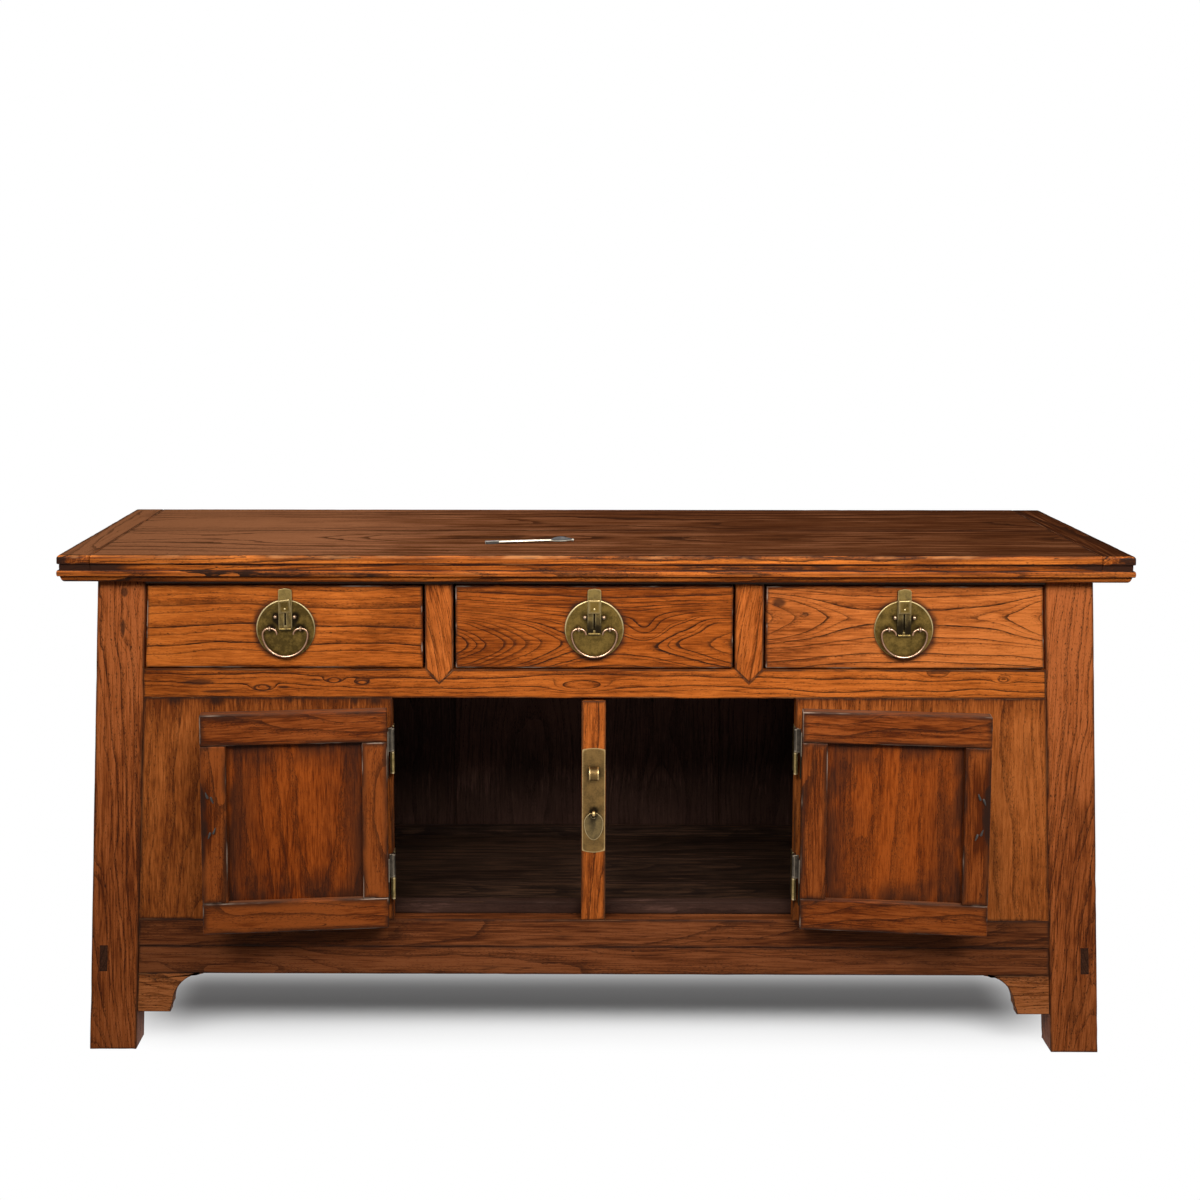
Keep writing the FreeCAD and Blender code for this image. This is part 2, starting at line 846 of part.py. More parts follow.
def pull(name, x, roll_drop):
    rim_bevel = 0.7
    section = [
        (0, front),
        (disc_radius, front),
        (disc_radius, disc_front + rim_bevel),
        (disc_radius - 2 * rim_bevel, disc_front),
        (0, disc_front),
    ]
    half_disc = outline("xy", section, 0)
    disc = half_disc.revolve(Vector(0, 0, 0), Vector(0, 1, 0), 360)
    disc.translate(Vector(x, 0, pull_height))

    bolt_gap = 0.4
    bolt_thick = 2.2
    bolt_half = 11.2
    bolt_top = pull_height + 68.0
    bolt_corner = 4.0
    slot_half = 1.3
    slot_start = 6.5
    slot_top = pull_height + 38.0
    roll_radius = 2.6
    roll_half = 10.2
    roll_z = pull_height - roll_drop
    bolt_back = disc_front - bolt_gap
    bolt_front = bolt_back - bolt_thick
    bend = bolt_corner * (1 - math.sqrt(0.5))
    points = [
        (x - bolt_half, roll_z),
        (x + bolt_half, roll_z),
        (x + bolt_half, bolt_top - bolt_corner),
        ((x + bolt_half - bend, bolt_top - bend), (x + bolt_half - bolt_corner, bolt_top)),
        (x - bolt_half + bolt_corner, bolt_top),
        ((x - bolt_half + bend, bolt_top - bend), (x - bolt_half, bolt_top - bolt_corner)),
    ]
    tongue = prism("xz", points, bolt_front, bolt_back)
    slot = box(x - slot_half, x + slot_half, bolt_front - 1, bolt_back + 1, roll_z + slot_start, slot_top)
    roll_y = bolt_back - roll_radius
    roll = rod(
        roll_radius, Vector(x - roll_half, roll_y, roll_z), Vector(x + roll_half, roll_y, roll_z)
    )
    save(name + "_bolt", joined(tongue, roll).cut(slot))

    # Cover plate over the bolt, on a rivet that passes through the bolt's slot
    cover_low = pull_height + 26.5
    cover_high = pull_height + 49.0
    cover_half = 9.8
    cover_thick = 2.6
    cover_bevel = 1.2
    rivet_radius = 1.0
    rivet_z = pull_height + 34.0
    cover_back = bolt_front - bolt_gap
    cover = box(x - cover_half, x + cover_half, cover_back - cover_thick, cover_back, cover_low, cover_high)
    rims = []
    for edge in cover.Edges:
        if all(abs(v.Point.y - cover_back + cover_thick) < 0.01 for v in edge.Vertexes):
            rims.append(edge)
    cover = cover.makeChamfer(cover_bevel, rims)
    rivet = rod(rivet_radius, Vector(x, cover_back, rivet_z), Vector(x, disc_front, rivet_z))
    cover = joined(cover, rivet)

    fit = 0.1
    fittings = [disc, cover]
    bail_eye_ring = 4.2
    bail_eye_thick = 2.3
    lock_eye_half = 16.5
    lock_eye_height = pull_height + 19.0
    lock_eye_out = 4.2
    lock_eye_ring = 3.6
    lock_eye_thick = 1.8
    lock_eye_hole = 1.7
    for turn in (-1, 1):
        fittings.append(
            ring_eye(
                x + turn * bail_eye_half, bail_axis_height, disc_front, bail_out,
                bail_eye_ring, bail_eye_thick, wire_radius + fit,
            )
        )
        fittings.append(
            ring_eye(
                x + turn * lock_eye_half, lock_eye_height, disc_front, lock_eye_out,
                lock_eye_ring, lock_eye_thick, lock_eye_hole,
            )
        )
    save(name + "_pull_plate", *fittings)
    save(name + "_bail", bail(x))


def bail(x):
    # Round wire, drawn with flats: half a circle whose ends turn over and down through the eyes
    y = disc_front - bail_out
    z = bail_axis_height - bail_end_radius
    bend_out = bail_radius - bail_end_radius
    bend_in = bend_out - bail_straight
    lowest = Vector(x, y, z - bail_radius)
    corners = []
    for i in range(wire_flats + 1):
        turn = 2 * math.pi * i / wire_flats
        corners.append(lowest + Vector(0, wire_radius * math.cos(turn), wire_radius * math.sin(turn)))

    def bent(section, hub_x):
        # A quarter turn of the wire, and its section at the far end
        hub = Vector(x + hub_x, y, z)
        axis = Vector(0, -1, 0)
        far_end = section.copy()
        far_end.rotate(hub, axis, 90)
        return section.revolve(hub, axis, 90), far_end

    lower, side_end = bent(Part.Face(Part.makePolygon(corners)), 0)
    outer, eye_end = bent(side_end, bend_out)
    across = Vector(-bail_straight, 0, 0)
    through_eye = eye_end.extrude(across)
    tip, tip_end = bent(eye_end.translated(across), bend_in)
    half = joined(lower, outer, through_eye, tip)
    return joined(half, half.mirror(lowest, Vector(1, 0, 0)))


# Lock pin lying on the table top: a bar with a leaf-shaped handle turned over at its end
def lock_pin():
    start = Vector(-182.0, -141.0, 0)
    turn = 11.5
    bar_long = 112.0
    bar_half = 2.4
    head_long = 22.0
    head_half = 2.9
    leaf_long = 42.0
    leaf_half = 6.5
    leaf_thick = 1.8
    rest_gap = 0.2
    bed = height + rest_gap
    axis_z = bed + head_half
    bar_in_leaf = 4.0
    bar = rod(bar_half, Vector(0, 0, axis_z), Vector(bar_long + bar_in_leaf, 0, axis_z))
    head = box(0, head_long, -head_half, head_half, bed, bed + 2 * head_half)
    x0 = bar_long
    x1 = x0 + leaf_long
    # The leaf rises, dips to the table and curls up at its tip
    low = bed + rest_gap
    crest = (x0 + 10.0, low + 6.6)
    slope = (x0 + 22.0, low + 3.4)
    dip = (x0 + 31.0, low)
    curl = (x1, low + 5.0)
    tip_lean = 1.2
    tip_half = 1.0
    stem_half = 1.6
    widest = x0 + leaf_long * 0.42

    def above(point):
        return (point[0], point[1] + leaf_thick)

    ribbon = [
        (x0, axis_z),
        (crest, slope),
        (dip, curl),
        (curl[0] - tip_lean, curl[1] + leaf_thick),
        (above(dip), above(slope)),
        (above(crest), (x0, axis_z + leaf_thick)),
    ]
    shape = [
        (x0, -stem_half),
        ((widest, -leaf_half), (x1 + tip_half, -tip_half)),
        (x1 + tip_half, tip_half),
        ((widest, leaf_half), (x0, stem_half)),
    ]
    leaf_room = 20.0
    leaf = prism("xz", ribbon, -leaf_half, leaf_half).common(prism("xy", shape, height, height + leaf_room))
    pin = joined(head, bar, leaf)
    pin.rotate(Vector(0, 0, 0), Vector(0, 0, 1), turn)
    pin.translate(start)
    save("lock_pin", pin)


# Build, then let the joinery in: every cutter is the piece that seats there
top_parts()
moulding_part()
legs()
front_frame()
side_frame()
back_frame()
floor_and_runners()
cut_all(["front_mid_rail", "front_bottom_rail"], saved["front_panel_left"] + saved["front_panel_right"])
cut_all(["front_mid_rail"], saved["drawer_dividers"])
cut_all(["side_rails", "top_frame_rails"], saved["side_panels"])
cut_all(["back_rails", "top_frame_rails"], saved["back_boards"])
all_legs = ["front_leg_left", "front_leg_right", "rear_leg_left", "rear_leg_right"]
seated_in_legs = []
for group in (
    "front_mid_rail", "front_bottom_rail", "front_apron", "front_panel_left", "front_panel_right",
    "side_rails", "side_panels", "top_frame_rails", "back_rails", "back_boards",
):
    seated_in_legs.extend(saved[group])
cut_all(all_legs, seated_in_legs)
leg_solids = [saved[name][0] for name in all_legs]
cut_all(["top_plank_front", "top_plank_rear"], leg_solids)
centre_stile()
save("case_hinge_leaves", *(door(-1) + door(1)))
outer_near = divider_far + drawer_play
outer_far = leg_inner(drawer_high) - drawer_play
inner_half = divider_near - drawer_play
drawer("drawer_left", outer_near, outer_far, 0.0)
drawer("drawer_centre", -inner_half, inner_half, 7.5)
drawer("drawer_right", outer_near, outer_far, 9.5)
lock_pin()
write_all()
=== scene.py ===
import math
import bpy
import numpy as np
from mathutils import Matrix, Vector, noise


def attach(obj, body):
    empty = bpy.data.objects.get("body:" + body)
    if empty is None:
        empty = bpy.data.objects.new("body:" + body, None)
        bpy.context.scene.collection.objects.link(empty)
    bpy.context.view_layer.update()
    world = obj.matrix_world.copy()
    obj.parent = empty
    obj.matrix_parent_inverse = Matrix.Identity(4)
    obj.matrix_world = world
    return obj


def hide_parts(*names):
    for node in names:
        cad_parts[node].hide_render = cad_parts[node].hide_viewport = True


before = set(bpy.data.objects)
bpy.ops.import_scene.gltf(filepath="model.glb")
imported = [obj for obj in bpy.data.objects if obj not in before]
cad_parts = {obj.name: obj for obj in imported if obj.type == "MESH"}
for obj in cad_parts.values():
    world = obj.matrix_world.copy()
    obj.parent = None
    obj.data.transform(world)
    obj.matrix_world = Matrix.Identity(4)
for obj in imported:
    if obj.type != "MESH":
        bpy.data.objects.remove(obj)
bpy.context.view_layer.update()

scene = bpy.context.scene
scene.view_settings.view_transform = "Standard"

# Sizes of the case, in metres, as the solids have them
case = {
    "front": -0.203, "rear": 0.247, "middle": 0.022, "legDeep": 0.052, "legWide": 0.0795,
    "footHalf": 0.8498, "splay": 0.043, "midLow": 0.608, "midHigh": 0.656, "bottomLow": 0.182,
    "sill": 0.229, "apronLow": 0.133, "bracketLow": 0.066, "openHalf": 0.333, "topRailLow": 0.799,
    "underPlanks": 0.825, "underMoulding": 0.805, "height": 0.850, "topHalfWide": 0.875,
    "topHalfDeep": 0.250, "overhang": 0.025, "cleatJoint": 0.820,
    "pullAt": {"left": -0.507, "centre": 0.0, "right": 0.507},
}
bothSides = ((-1, "left"), (1, "right"))
front = case["front"]
rear = case["rear"]
legBack = front + case["legDeep"]
rearLegFront = rear - case["legDeep"]


def legOuter(z):
    return case["footHalf"] - case["splay"] * z


def legInner(z):
    return legOuter(z) - case["legWide"]


betweenLegs = (lambda z: -legInner(z), legInner)

# Mesh tools: a shape gathers points and faces, with grain coordinates,
# the distance to the nearest arris and a tone
seedCount = 0
seedStep = 3.17
# A tone this low turns black: painted shade in the creases of the top and moulding
blackTone = -0.5
sharpAngle = math.radians(40)
wearLook = {"reach": 0.007, "slow": 14, "chips": 55, "chipFrom": 0.3}


def turned(degrees):
    return math.cos(math.radians(degrees)), math.sin(math.radians(degrees))


def nextSeed():
    global seedCount
    seedCount += 1
    return seedCount * seedStep


def newShape():
    return {"points": [], "faces": [], "grain": [], "edge": [], "tone": [], "look": []}


def gather(shape, points, faces, grain, edge, tone, flip=False, look=None):
    # look gives each face's material, by its place in the piece's list;
    # tone may be a function of the points
    start = len(shape["points"])
    shape["points"].extend(map(tuple, points))
    shape["grain"].extend(map(tuple, grain))
    shape["edge"].extend(edge)
    if callable(tone):
        tone = list(tone(np.array(points)))
    shape["tone"].extend(tone if isinstance(tone, list) else [tone] * len(points))
    shape["look"].extend(look or [0] * len(faces))
    for face in faces:
        moved = [start + i for i in face]
        shape["faces"].append(moved[::-1] if flip else moved)


def bands(rings, count, inward=False):
    # Faces between closed rings of points, each with count points
    faces = []
    for low in range(0, (rings - 1) * count, count):
        high = low + count
        for i in range(count):
            j = (i + 1) % count
            quad = [low + i, low + j, high + j, high + i]
            faces.append([quad[0], quad[3], quad[2], quad[1]] if inward else quad)
    return faces


def closedBands(rings, count, inward=False):
    # The same, with a face at each end
    first = list(range(count))
    last = [(rings - 1) * count + i for i in first]
    ends = [first, last[::-1]] if inward else [first[::-1], last]
    return bands(rings, count, inward) + ends


def grainOf(centred, axes, seed, pith, tilt):
    # Along the grain, across it and through the board, from a pith that leans by tilt
    u, v, w = (centred[:, "xyz".index(a)] for a in axes)
    return np.stack([u + seed, v - pith[0] - tilt[0] * u, w - pith[1] - tilt[1] * u], axis=1)


def alongX(x0, x1, low, high):
    # A tone that changes evenly along the object
    def tone(points):
        return low + (high - low) * np.clip((points[:, 0] - x0) / (x1 - x0), 0, 1)
    return tone


def stations(length, radius, step):
    # Distances along a side, closer together near its ends, where the arris is
    near = [0.0, 0.586 * radius, radius, radius + 0.0015, radius + 0.006, radius + 0.018]
    near = [d for d in near if d < length * 0.49]
    last = near[-1]
    count = max(1, round((length - 2 * last) / step))
    middle = [last + (length - 2 * last) * i / count for i in range(1, count)]
    return near + middle + [length - d for d in reversed(near)]


def boxShell(nx, ny, nz):
    found = {}
    keys = []

    def at(*key):
        if key not in found:
            found[key] = len(keys)
            keys.append(key)
        return found[key]

    counts = (nx, ny, nz)
    faces = []
    pairs = ((2, 0, 1, (True, False)), (1, 0, 2, (False, True)), (0, 1, 2, (True, False)))
    for fixed, a, b, flips in pairs:
        for level, flip in zip((0, counts[fixed] - 1), flips):
            for i in range(counts[a] - 1):
                for j in range(counts[b] - 1):
                    quad = []
                    for stepA, stepB in ((0, 0), (1, 0), (1, 1), (0, 1)):
                        key = [level, level, level]
                        key[a], key[b] = i + stepA, j + stepB
                        quad.append(at(*key))
                    faces.append(quad[::-1] if flip else quad)
    return np.array(keys), faces


def wornDepth(points, edge, seed, wear):
    # How far the arris is rubbed away at each point: a slow wander, and chips here and there
    depth = np.zeros(len(points))
    reach, chipFrom = wearLook["reach"], wearLook["chipFrom"]
    for i in np.nonzero(edge < reach)[0]:
        spot = Vector(points[i]) + Vector((seed, 0, 0))
        slow = 0.5 + 0.5 * noise.noise(spot * wearLook["slow"])
        chip = max(0.0, noise.noise(spot * wearLook["chips"]) - chipFrom) / (1 - chipFrom)
        depth[i] = (1 - edge[i] / reach) ** 1.5 * (wear[0] * slow + wear[1] * chip)
    return depth


def addBoard(shape, x, y, z, axes, radius=0.0008, step=0.02, pith=(0.02, 0.07), tilt=(0.0, 0.03), tone=0.5,
             wear=(0.0003, 0.0006), side=1, place=None, seed=None):
    # x may be given as functions of the height; axes names the grain's length, width and depth
    def reach(value, height):
        return value(height) if callable(value) else value

    zMid = (z[0] + z[1]) / 2
    size = np.array([reach(x[1], zMid) - reach(x[0], zMid), y[1] - y[0], z[1] - z[0]])
    radius = min(radius, size.min() * 0.3)
    steps = [0.08, 0.08, 0.08]
    steps["xyz".index(axes[0])] = step
    lists = [stations(size[i], radius, steps[i]) for i in range(3)]
    keys, faces = boxShell(*[len(values) for values in lists])
    flat = np.stack([np.array(lists[i])[keys[:, i]] for i in range(3)], axis=1)
    inner = np.clip(flat, radius, size - radius)
    out = flat - inner
    normals = out / np.linalg.norm(out, axis=1, keepdims=True)
    local = inner + radius * normals
    edge = np.sort(np.minimum(flat, size - flat), axis=1)[:, 1]
    seed = nextSeed() if seed is None else seed
    local = local - normals * wornDepth(local, edge, seed, wear)[:, None]
    grain = grainOf(local - size / 2, axes, seed, pith, tilt)
    zz = z[0] + local[:, 2]
    x0, x1 = reach(x[0], zz), reach(x[1], zz)
    xx = x0 + (x1 - x0) * local[:, 0] / size[0]
    points = np.stack([side * xx, y[0] + local[:, 1], zz], axis=1)
    if place:
        points = place(points)
    gather(shape, points, faces, grain, np.clip(edge, 0, 0.06), tone, flip=side < 0)


def insetOutline(points, amount):
    # Moves each corner of an anticlockwise outline inwards, square to its two edges
    here = np.array(points)
    before = np.roll(here, 1, axis=0)
    after = np.roll(here, -1, axis=0)
    a = here - before
    b = after - here
    na = np.stack([-a[:, 1], a[:, 0]], axis=1) / np.linalg.norm(a, axis=1, keepdims=True)
    nb = np.stack([-b[:, 1], b[:, 0]], axis=1) / np.linalg.norm(b, axis=1, keepdims=True)
    middle = na + nb
    middle /= np.maximum(np.linalg.norm(middle, axis=1, keepdims=True), 1e-9)
    cosine = np.clip((middle * na).sum(axis=1, keepdims=True), 0.5, 1)
    return here + middle * amount / cosine


def dense(points, step):
    out = []
    for a, b in zip(points, points[1:] + points[:1]):
        count = max(1, round(math.dist(a, b) / step))
        out.extend((a[0] + (b[0] - a[0]) * i / count, a[1] + (b[1] - a[1]) * i / count)
                   for i in range(count))
    return out


def addLayers(shape, outline, rings, axes, pith=(0.0, 0.0), tilt=(0.0, 0.0), tone=0.5, wear=(0.0, 0.0),
              side=1, place=None, seed=None):
    # Outlines in x and z, one behind the other: each ring is (inset, y, distance to the arris)
    seed = nextSeed() if seed is None else seed
    count = len(outline)
    allPoints = []
    allEdge = []
    for inset, y, edge in rings:
        ring = insetOutline(outline, inset)
        spots = np.stack([ring[:, 0], np.full(count, rings[0][1]), ring[:, 1]], axis=1)
        if edge < 0.004 and wear[0] > 0:
            depth = wornDepth(spots, np.full(count, edge), seed, wear)
            ring = ring + (insetOutline(outline, inset + 0.001) - ring) * depth[:, None] / 0.001
        allPoints.append(np.stack([ring[:, 0], np.full(count, y), ring[:, 1]], axis=1))
        allEdge.append(np.full(count, edge))
    points = np.concatenate(allPoints)
    centred = points - (points.min(axis=0) + points.max(axis=0)) / 2
    grain = grainOf(centred, axes, seed, pith, tilt)
    points[:, 0] *= side
    if place:
        points = place(points)
    faces = closedBands(len(rings), count, inward=True)
    gather(shape, points, faces, grain, np.concatenate(allEdge), tone, flip=side < 0)


def addPrism(shape, outline, y0, y1, axes, radius=0.0008, insets=(0.0015, 0.006), **others):
    # A board cut to an outline in x and z, its arrises eased
    half = radius * (1 - math.sqrt(0.5))
    near = [(extra, 0.02 if extra == insets[-1] else extra) for extra in insets]
    rings = [(radius + extra, y0, edge) for extra, edge in reversed(near)]
    rings += [(radius, y0, 0.0005), (half, y0 + half, 0.0), (0, y0 + radius, 0.0005)]
    rings += [(0, y0 + radius + 0.004, 0.004), (0, y1 - radius - 0.004, 0.004)]
    rings += [(0, y1 - radius, 0.0005), (half, y1 - half, 0.0), (radius, y1, 0.0005)]
    rings += [(radius + extra, y1, edge) for extra, edge in near]
    addLayers(shape, outline, rings, axes, **others)


def addPlate(shape, outline, y0, y1, radius, insets=(0.002,), flat=0.0, rim=0.0, **others):
    # A metal plate with a rim on its front, y0, rubbed bright and with a painted highlight;
    # flat and rim keep the rubbing and the painted highlight off the face and the rim
    half = radius * (1 - math.sqrt(0.5))
    rings = [(radius + extra, y0, extra + flat) for extra in reversed(insets)]
    rings += [(radius, y0, 0.0004 + rim), (half, y0 + half, rim), (0, y0 + radius, 0.0002 + rim),
              (0, y1, 0.002)]
    addLayers(shape, outline, rings, "xzy", **others)


def addTier(shape, x, y, levels, axes, corner, pith, tilt, tone, wear, edgeLevels, step=0.014):
    # A slab built up of level outlines: (height, inset left, right, front, back, distance to the arris);
    # the first edgeLevels of them are its edge and take the second material
    seed = nextSeed()
    sx = x[1] - x[0]
    sy = y[1] - y[0]
    along = stations(sx, corner, step if axes[0] == "x" else 0.02)
    across = stations(sy, corner, step if axes[0] == "y" else 0.02)
    rim = [(a, 0.0) for a in along[:-1]] + [(sx, b) for b in across[:-1]]
    rim += [(a, sy) for a in reversed(along[1:])] + [(0.0, b) for b in reversed(across[1:])]
    rim = np.array(rim)
    size = np.array([sx, sy])
    inner = np.clip(rim, corner, size - corner)
    out = rim - inner
    outward = out / np.linalg.norm(out, axis=1, keepdims=True)
    rounded = inner + outward * corner
    toCorner = np.sort(np.minimum(rim, size - rim), axis=1)[:, 1]
    count = len(rim)
    rings = []
    edges = []
    for height, left, right, near, far, edge in levels:
        low = np.array([left, near])
        high = np.array([right, far])
        spot = rounded * (size - low - high) / size + low + np.array([x[0], y[0]])
        along3 = np.column_stack([spot, np.full(count, height)])
        depth = wornDepth(along3, np.full(count, edge), seed, wear)
        spot = spot - outward * depth[:, None]
        rings.append(np.column_stack([spot, np.full(count, height) - depth * 0.4]))
        edges.append(np.minimum(np.full(count, edge), np.maximum(toCorner, edge * 0.5)))
    points = np.concatenate(rings)
    underside = list(reversed(range(count)))
    sides = bands(len(levels), count)
    last = (len(levels) - 1) * count
    n, m = len(along) - 1, len(across) - 1
    strips = [[0, 1] + list(range(2 * n + m - 1, count))]
    strips += [[i, i + 1, 2 * n + m - i - 1, 2 * n + m - i] for i in range(1, n - 1)]
    strips.append(list(range(n - 1, n + m + 2)))
    faces = [underside] + sides + [[last + i for i in strip] for strip in strips]
    middle = np.array([(x[0] + x[1]) / 2, (y[0] + y[1]) / 2, levels[-1][0]])
    grain = grainOf(points - middle, axes, seed, pith, tilt)
    edgeFaces = 1 + edgeLevels * count
    look = [1] * edgeFaces + [0] * (len(faces) - edgeFaces)
    gather(shape, points, faces, grain, np.concatenate(edges), tone, look=look)


def addTube(shape, path, radius, sides=14, tone=0.5, edge=0.01, place=None):
    # edge may be a function of the direction out of the tube
    path = [Vector(p) for p in (place(np.array(path)) if place else path)]
    radii = radius if isinstance(radius, (list, tuple)) else [radius] * len(path)
    count = len(path)
    tangents = [(path[min(i + 1, count - 1)] - path[max(i - 1, 0)]).normalized() for i in range(count)]
    side = tangents[0].orthogonal().normalized()
    points = []
    edges = []
    for i in range(count):
        side = (side - tangents[i] * side.dot(tangents[i])).normalized()
        other = tangents[i].cross(side)
        for s in range(sides):
            turn = 2 * math.pi * s / sides
            out = side * math.cos(turn) + other * math.sin(turn)
            points.append(path[i] + out * radii[i])
            edges.append(edge(out) if callable(edge) else edge)
    gather(shape, points, closedBands(count, sides), points, edges, tone)


def addLathe(shape, profile, centre, axis, segments=72, tone=0.5, place=None, dull=None):
    # profile holds (radius, distance along the axis, distance to a rim that is rubbed and has a painted
    # highlight);
    # dull, a function of the point, takes the rubbing and the painted highlight off the rim
    centre = Vector(centre)
    axis = Vector(axis).normalized()
    if place:
        ends = place(np.array([centre, centre + axis]))
        centre = Vector(ends[0])
        axis = Vector(ends[1]) - centre
    side = axis.orthogonal().normalized()
    other = axis.cross(side)
    points = []
    edges = []
    for r, along, edge in profile:
        for s in range(segments):
            turn = 2 * math.pi * s / segments
            points.append(centre + axis * along + (side * math.cos(turn) + other * math.sin(turn)) * r)
            edges.append(edge + (dull(points[-1]) if dull else 0.0))
    gather(shape, points, closedBands(len(profile), segments), points, edges, tone)


def addSweep(shape, frames, section, tone=0.5, place=None):
    # A closed section of (across, out, distance to a rubbed rim),
    # carried along frames of (centre, across, out, scale)
    points = []
    edges = []
    for centre, across, out, scale in frames:
        for a, b, edge in section:
            points.append(np.array(centre) + np.array(across) * a * scale + np.array(out) * b)
            edges.append(edge)
    points = np.array(points)
    if place:
        points = place(points)
    gather(shape, points, closedBands(len(frames), len(section), inward=True), points, edges, tone)


def rubbedTowards(direction):
    # Wire with a painted highlight: bright on the side that looks one way
    def edge(out):
        return 0.0002 + 0.006 * (1 - out.dot(direction))
    return edge


def makePiece(name, shape, material, body, nodes=()):
    mesh = bpy.data.meshes.new(name)
    mesh.from_pydata(shape["points"], [], shape["faces"])
    grain = mesh.attributes.new("grain", "FLOAT_VECTOR", "POINT")
    grain.data.foreach_set("vector", np.array(shape["grain"], dtype=np.float32).ravel())
    for key in ("edge", "tone"):
        layer = mesh.attributes.new(key, "FLOAT", "POINT")
        layer.data.foreach_set("value", np.array(shape[key], dtype=np.float32))
    mesh.shade_smooth()
    mesh.set_sharp_from_angle(angle=sharpAngle)
    for each in material if isinstance(material, list) else [material]:
        mesh.materials.append(each)
    mesh.polygons.foreach_set("material_index", shape["look"])
    mesh.validate()
    piece = bpy.data.objects.new(name, mesh)
    scene.collection.objects.link(piece)
    weighted = piece.modifiers.new("evenFaces", "WEIGHTED_NORMAL")
    weighted.keep_sharp = True
    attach(piece, body)
    if nodes:
        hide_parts(*nodes)


def dressNode(node, shape, material, body):
    # A piece in the place of one node, with the node's name
    first, *others = node.split("_")
    name = first + "".join(word.capitalize() for word in others)
    makePiece(name, shape, material, body, [node])


# Node tools: each adds one node and hands back its socket
class Desk:
    def __init__(self, material):
        self.tree = material.node_tree
        self.tree.nodes.clear()

    def put(self, kind, inputs=None, **settings):
        made = self.tree.nodes.new(kind)
        for key, value in settings.items():
            setattr(made, key, value)
        for key, value in (inputs or {}).items():
            if isinstance(value, bpy.types.NodeSocket):
                self.tree.links.new(value, made.inputs[key])
            else:
                made.inputs[key].default_value = value
        return made

    def calc(self, operation, a, b=0.0, c=0.0, clamp=False):
        return self.put("ShaderNodeMath", {0: a, 1: b, 2: c}, operation=operation,
                        use_clamp=clamp).outputs[0]

    def painted(self):
        # What each point carries: its grain coordinates, distance to the arris and tone
        names = ("grain", "edge", "tone")
        grain, edge, tone = (self.put("ShaderNodeAttribute", attribute_name=name).outputs for name in names)
        return grain["Vector"], edge["Fac"], tone["Fac"]

    def stretch(self, vector, scale):
        return self.put("ShaderNodeVectorMath", {0: vector, 1: scale}, operation="MULTIPLY").outputs[0]

    def cloud(self, vector, scale=1.0, detail=2.0, rough=0.5):
        inputs = {"Vector": vector, "Scale": scale, "Detail": detail, "Roughness": rough}
        return self.put("ShaderNodeTexNoise", inputs).outputs["Fac"]

    def fit(self, value, low, high, outLow=0.0, outHigh=1.0, smooth=True):
        kind = "SMOOTHSTEP" if smooth else "LINEAR"
        inputs = {"Value": value, "From Min": low, "From Max": high, "To Min": outLow, "To Max": outHigh}
        return self.put("ShaderNodeMapRange", inputs, interpolation_type=kind).outputs["Result"]

    def blend(self, share, a, b):
        a, b = (c if isinstance(c, bpy.types.NodeSocket) else tuple(c) + (1.0,) for c in (a, b))
        return self.put("ShaderNodeMix", {0: share, 6: a, 7: b}, data_type="RGBA").outputs[2]

    def streaks(self, grain, along, across, **settings):
        # A noise drawn out along the grain
        return self.cloud(self.stretch(grain, (along, across, across)), **settings)

    def sway(self, value, amount, base, clamp=False):
        # base moved up and down by a noise
        return self.calc("MULTIPLY_ADD", self.calc("SUBTRACT", value, 0.5), amount, base, clamp)

    def oval(self, axes, along, across, halfLong=1.0, halfWide=1.0):
        # Squared distance from a spot on the grain, in half lengths and half widths
        du = self.calc("DIVIDE", self.calc("SUBTRACT", axes.outputs[0], along), halfLong)
        dv = self.calc("DIVIDE", self.calc("SUBTRACT", axes.outputs[1], across), halfWide)
        return self.calc("ADD", self.calc("MULTIPLY", du, du), self.calc("MULTIPLY", dv, dv))

    def finish(self, colour, roughness, height, bumpStrength, bumpDistance, fixed):
        bump = self.put("ShaderNodeBump", {"Height": height, "Strength": bumpStrength,
                                           "Distance": bumpDistance})
        shader = self.put("ShaderNodeBsdfPrincipled", {"Base Color": colour, "Roughness": roughness,
                                                       "Normal": bump.outputs[0]})
        for key, value in fixed.items():
            shader.inputs[key].default_value = value
        out = self.put("ShaderNodeOutputMaterial")
        self.tree.links.new(shader.outputs[0], out.inputs[0])


def newMaterial(name):
    material = bpy.data.materials.new(name)
    material.use_nodes = True
    return material


# Elm: one sharp dashed line to a ring with a soft shade behind it, pores,
# grime and painted shade in the corners and creases, and rubbed arrises with a painted highlight
elmBase = {
    "wood": (0.40, 0.100, 0.014), "ink": (0.022, 0.0075, 0.003), "grime": (0.020, 0.0085, 0.005),
    "rubbed": (0.50, 0.20, 0.07), "ring": 0.0095, "lineWidth": 0.17, "lineAmount": 0.95, "band": 0.30,
    "chance": 0.35, "waveLong": 3.5, "wander": 0.016, "ripple": 0.0040, "ragged": 0.0005, "pores": 0.80,
    "fibre": 0.26, "fibreLong": 7.0, "hairLong": 36.0, "blotch": 0.45, "cracks": 0.0, "grimeReach": 0.006,
    "grimeAmount": 0.9, "rubAmount": 0.25, "rubReach": 0.0016, "specks": 0.8, "stain": 0.45,
    "roughness": 0.48, "specular": 0.07, "dust": 0.0, "knots": (), "eyes": (), "arch": None, "plate": None,
    "paler": (1.45, 1.60, 1.9), "deeper": (0.42, 0.36, 0.34),
}


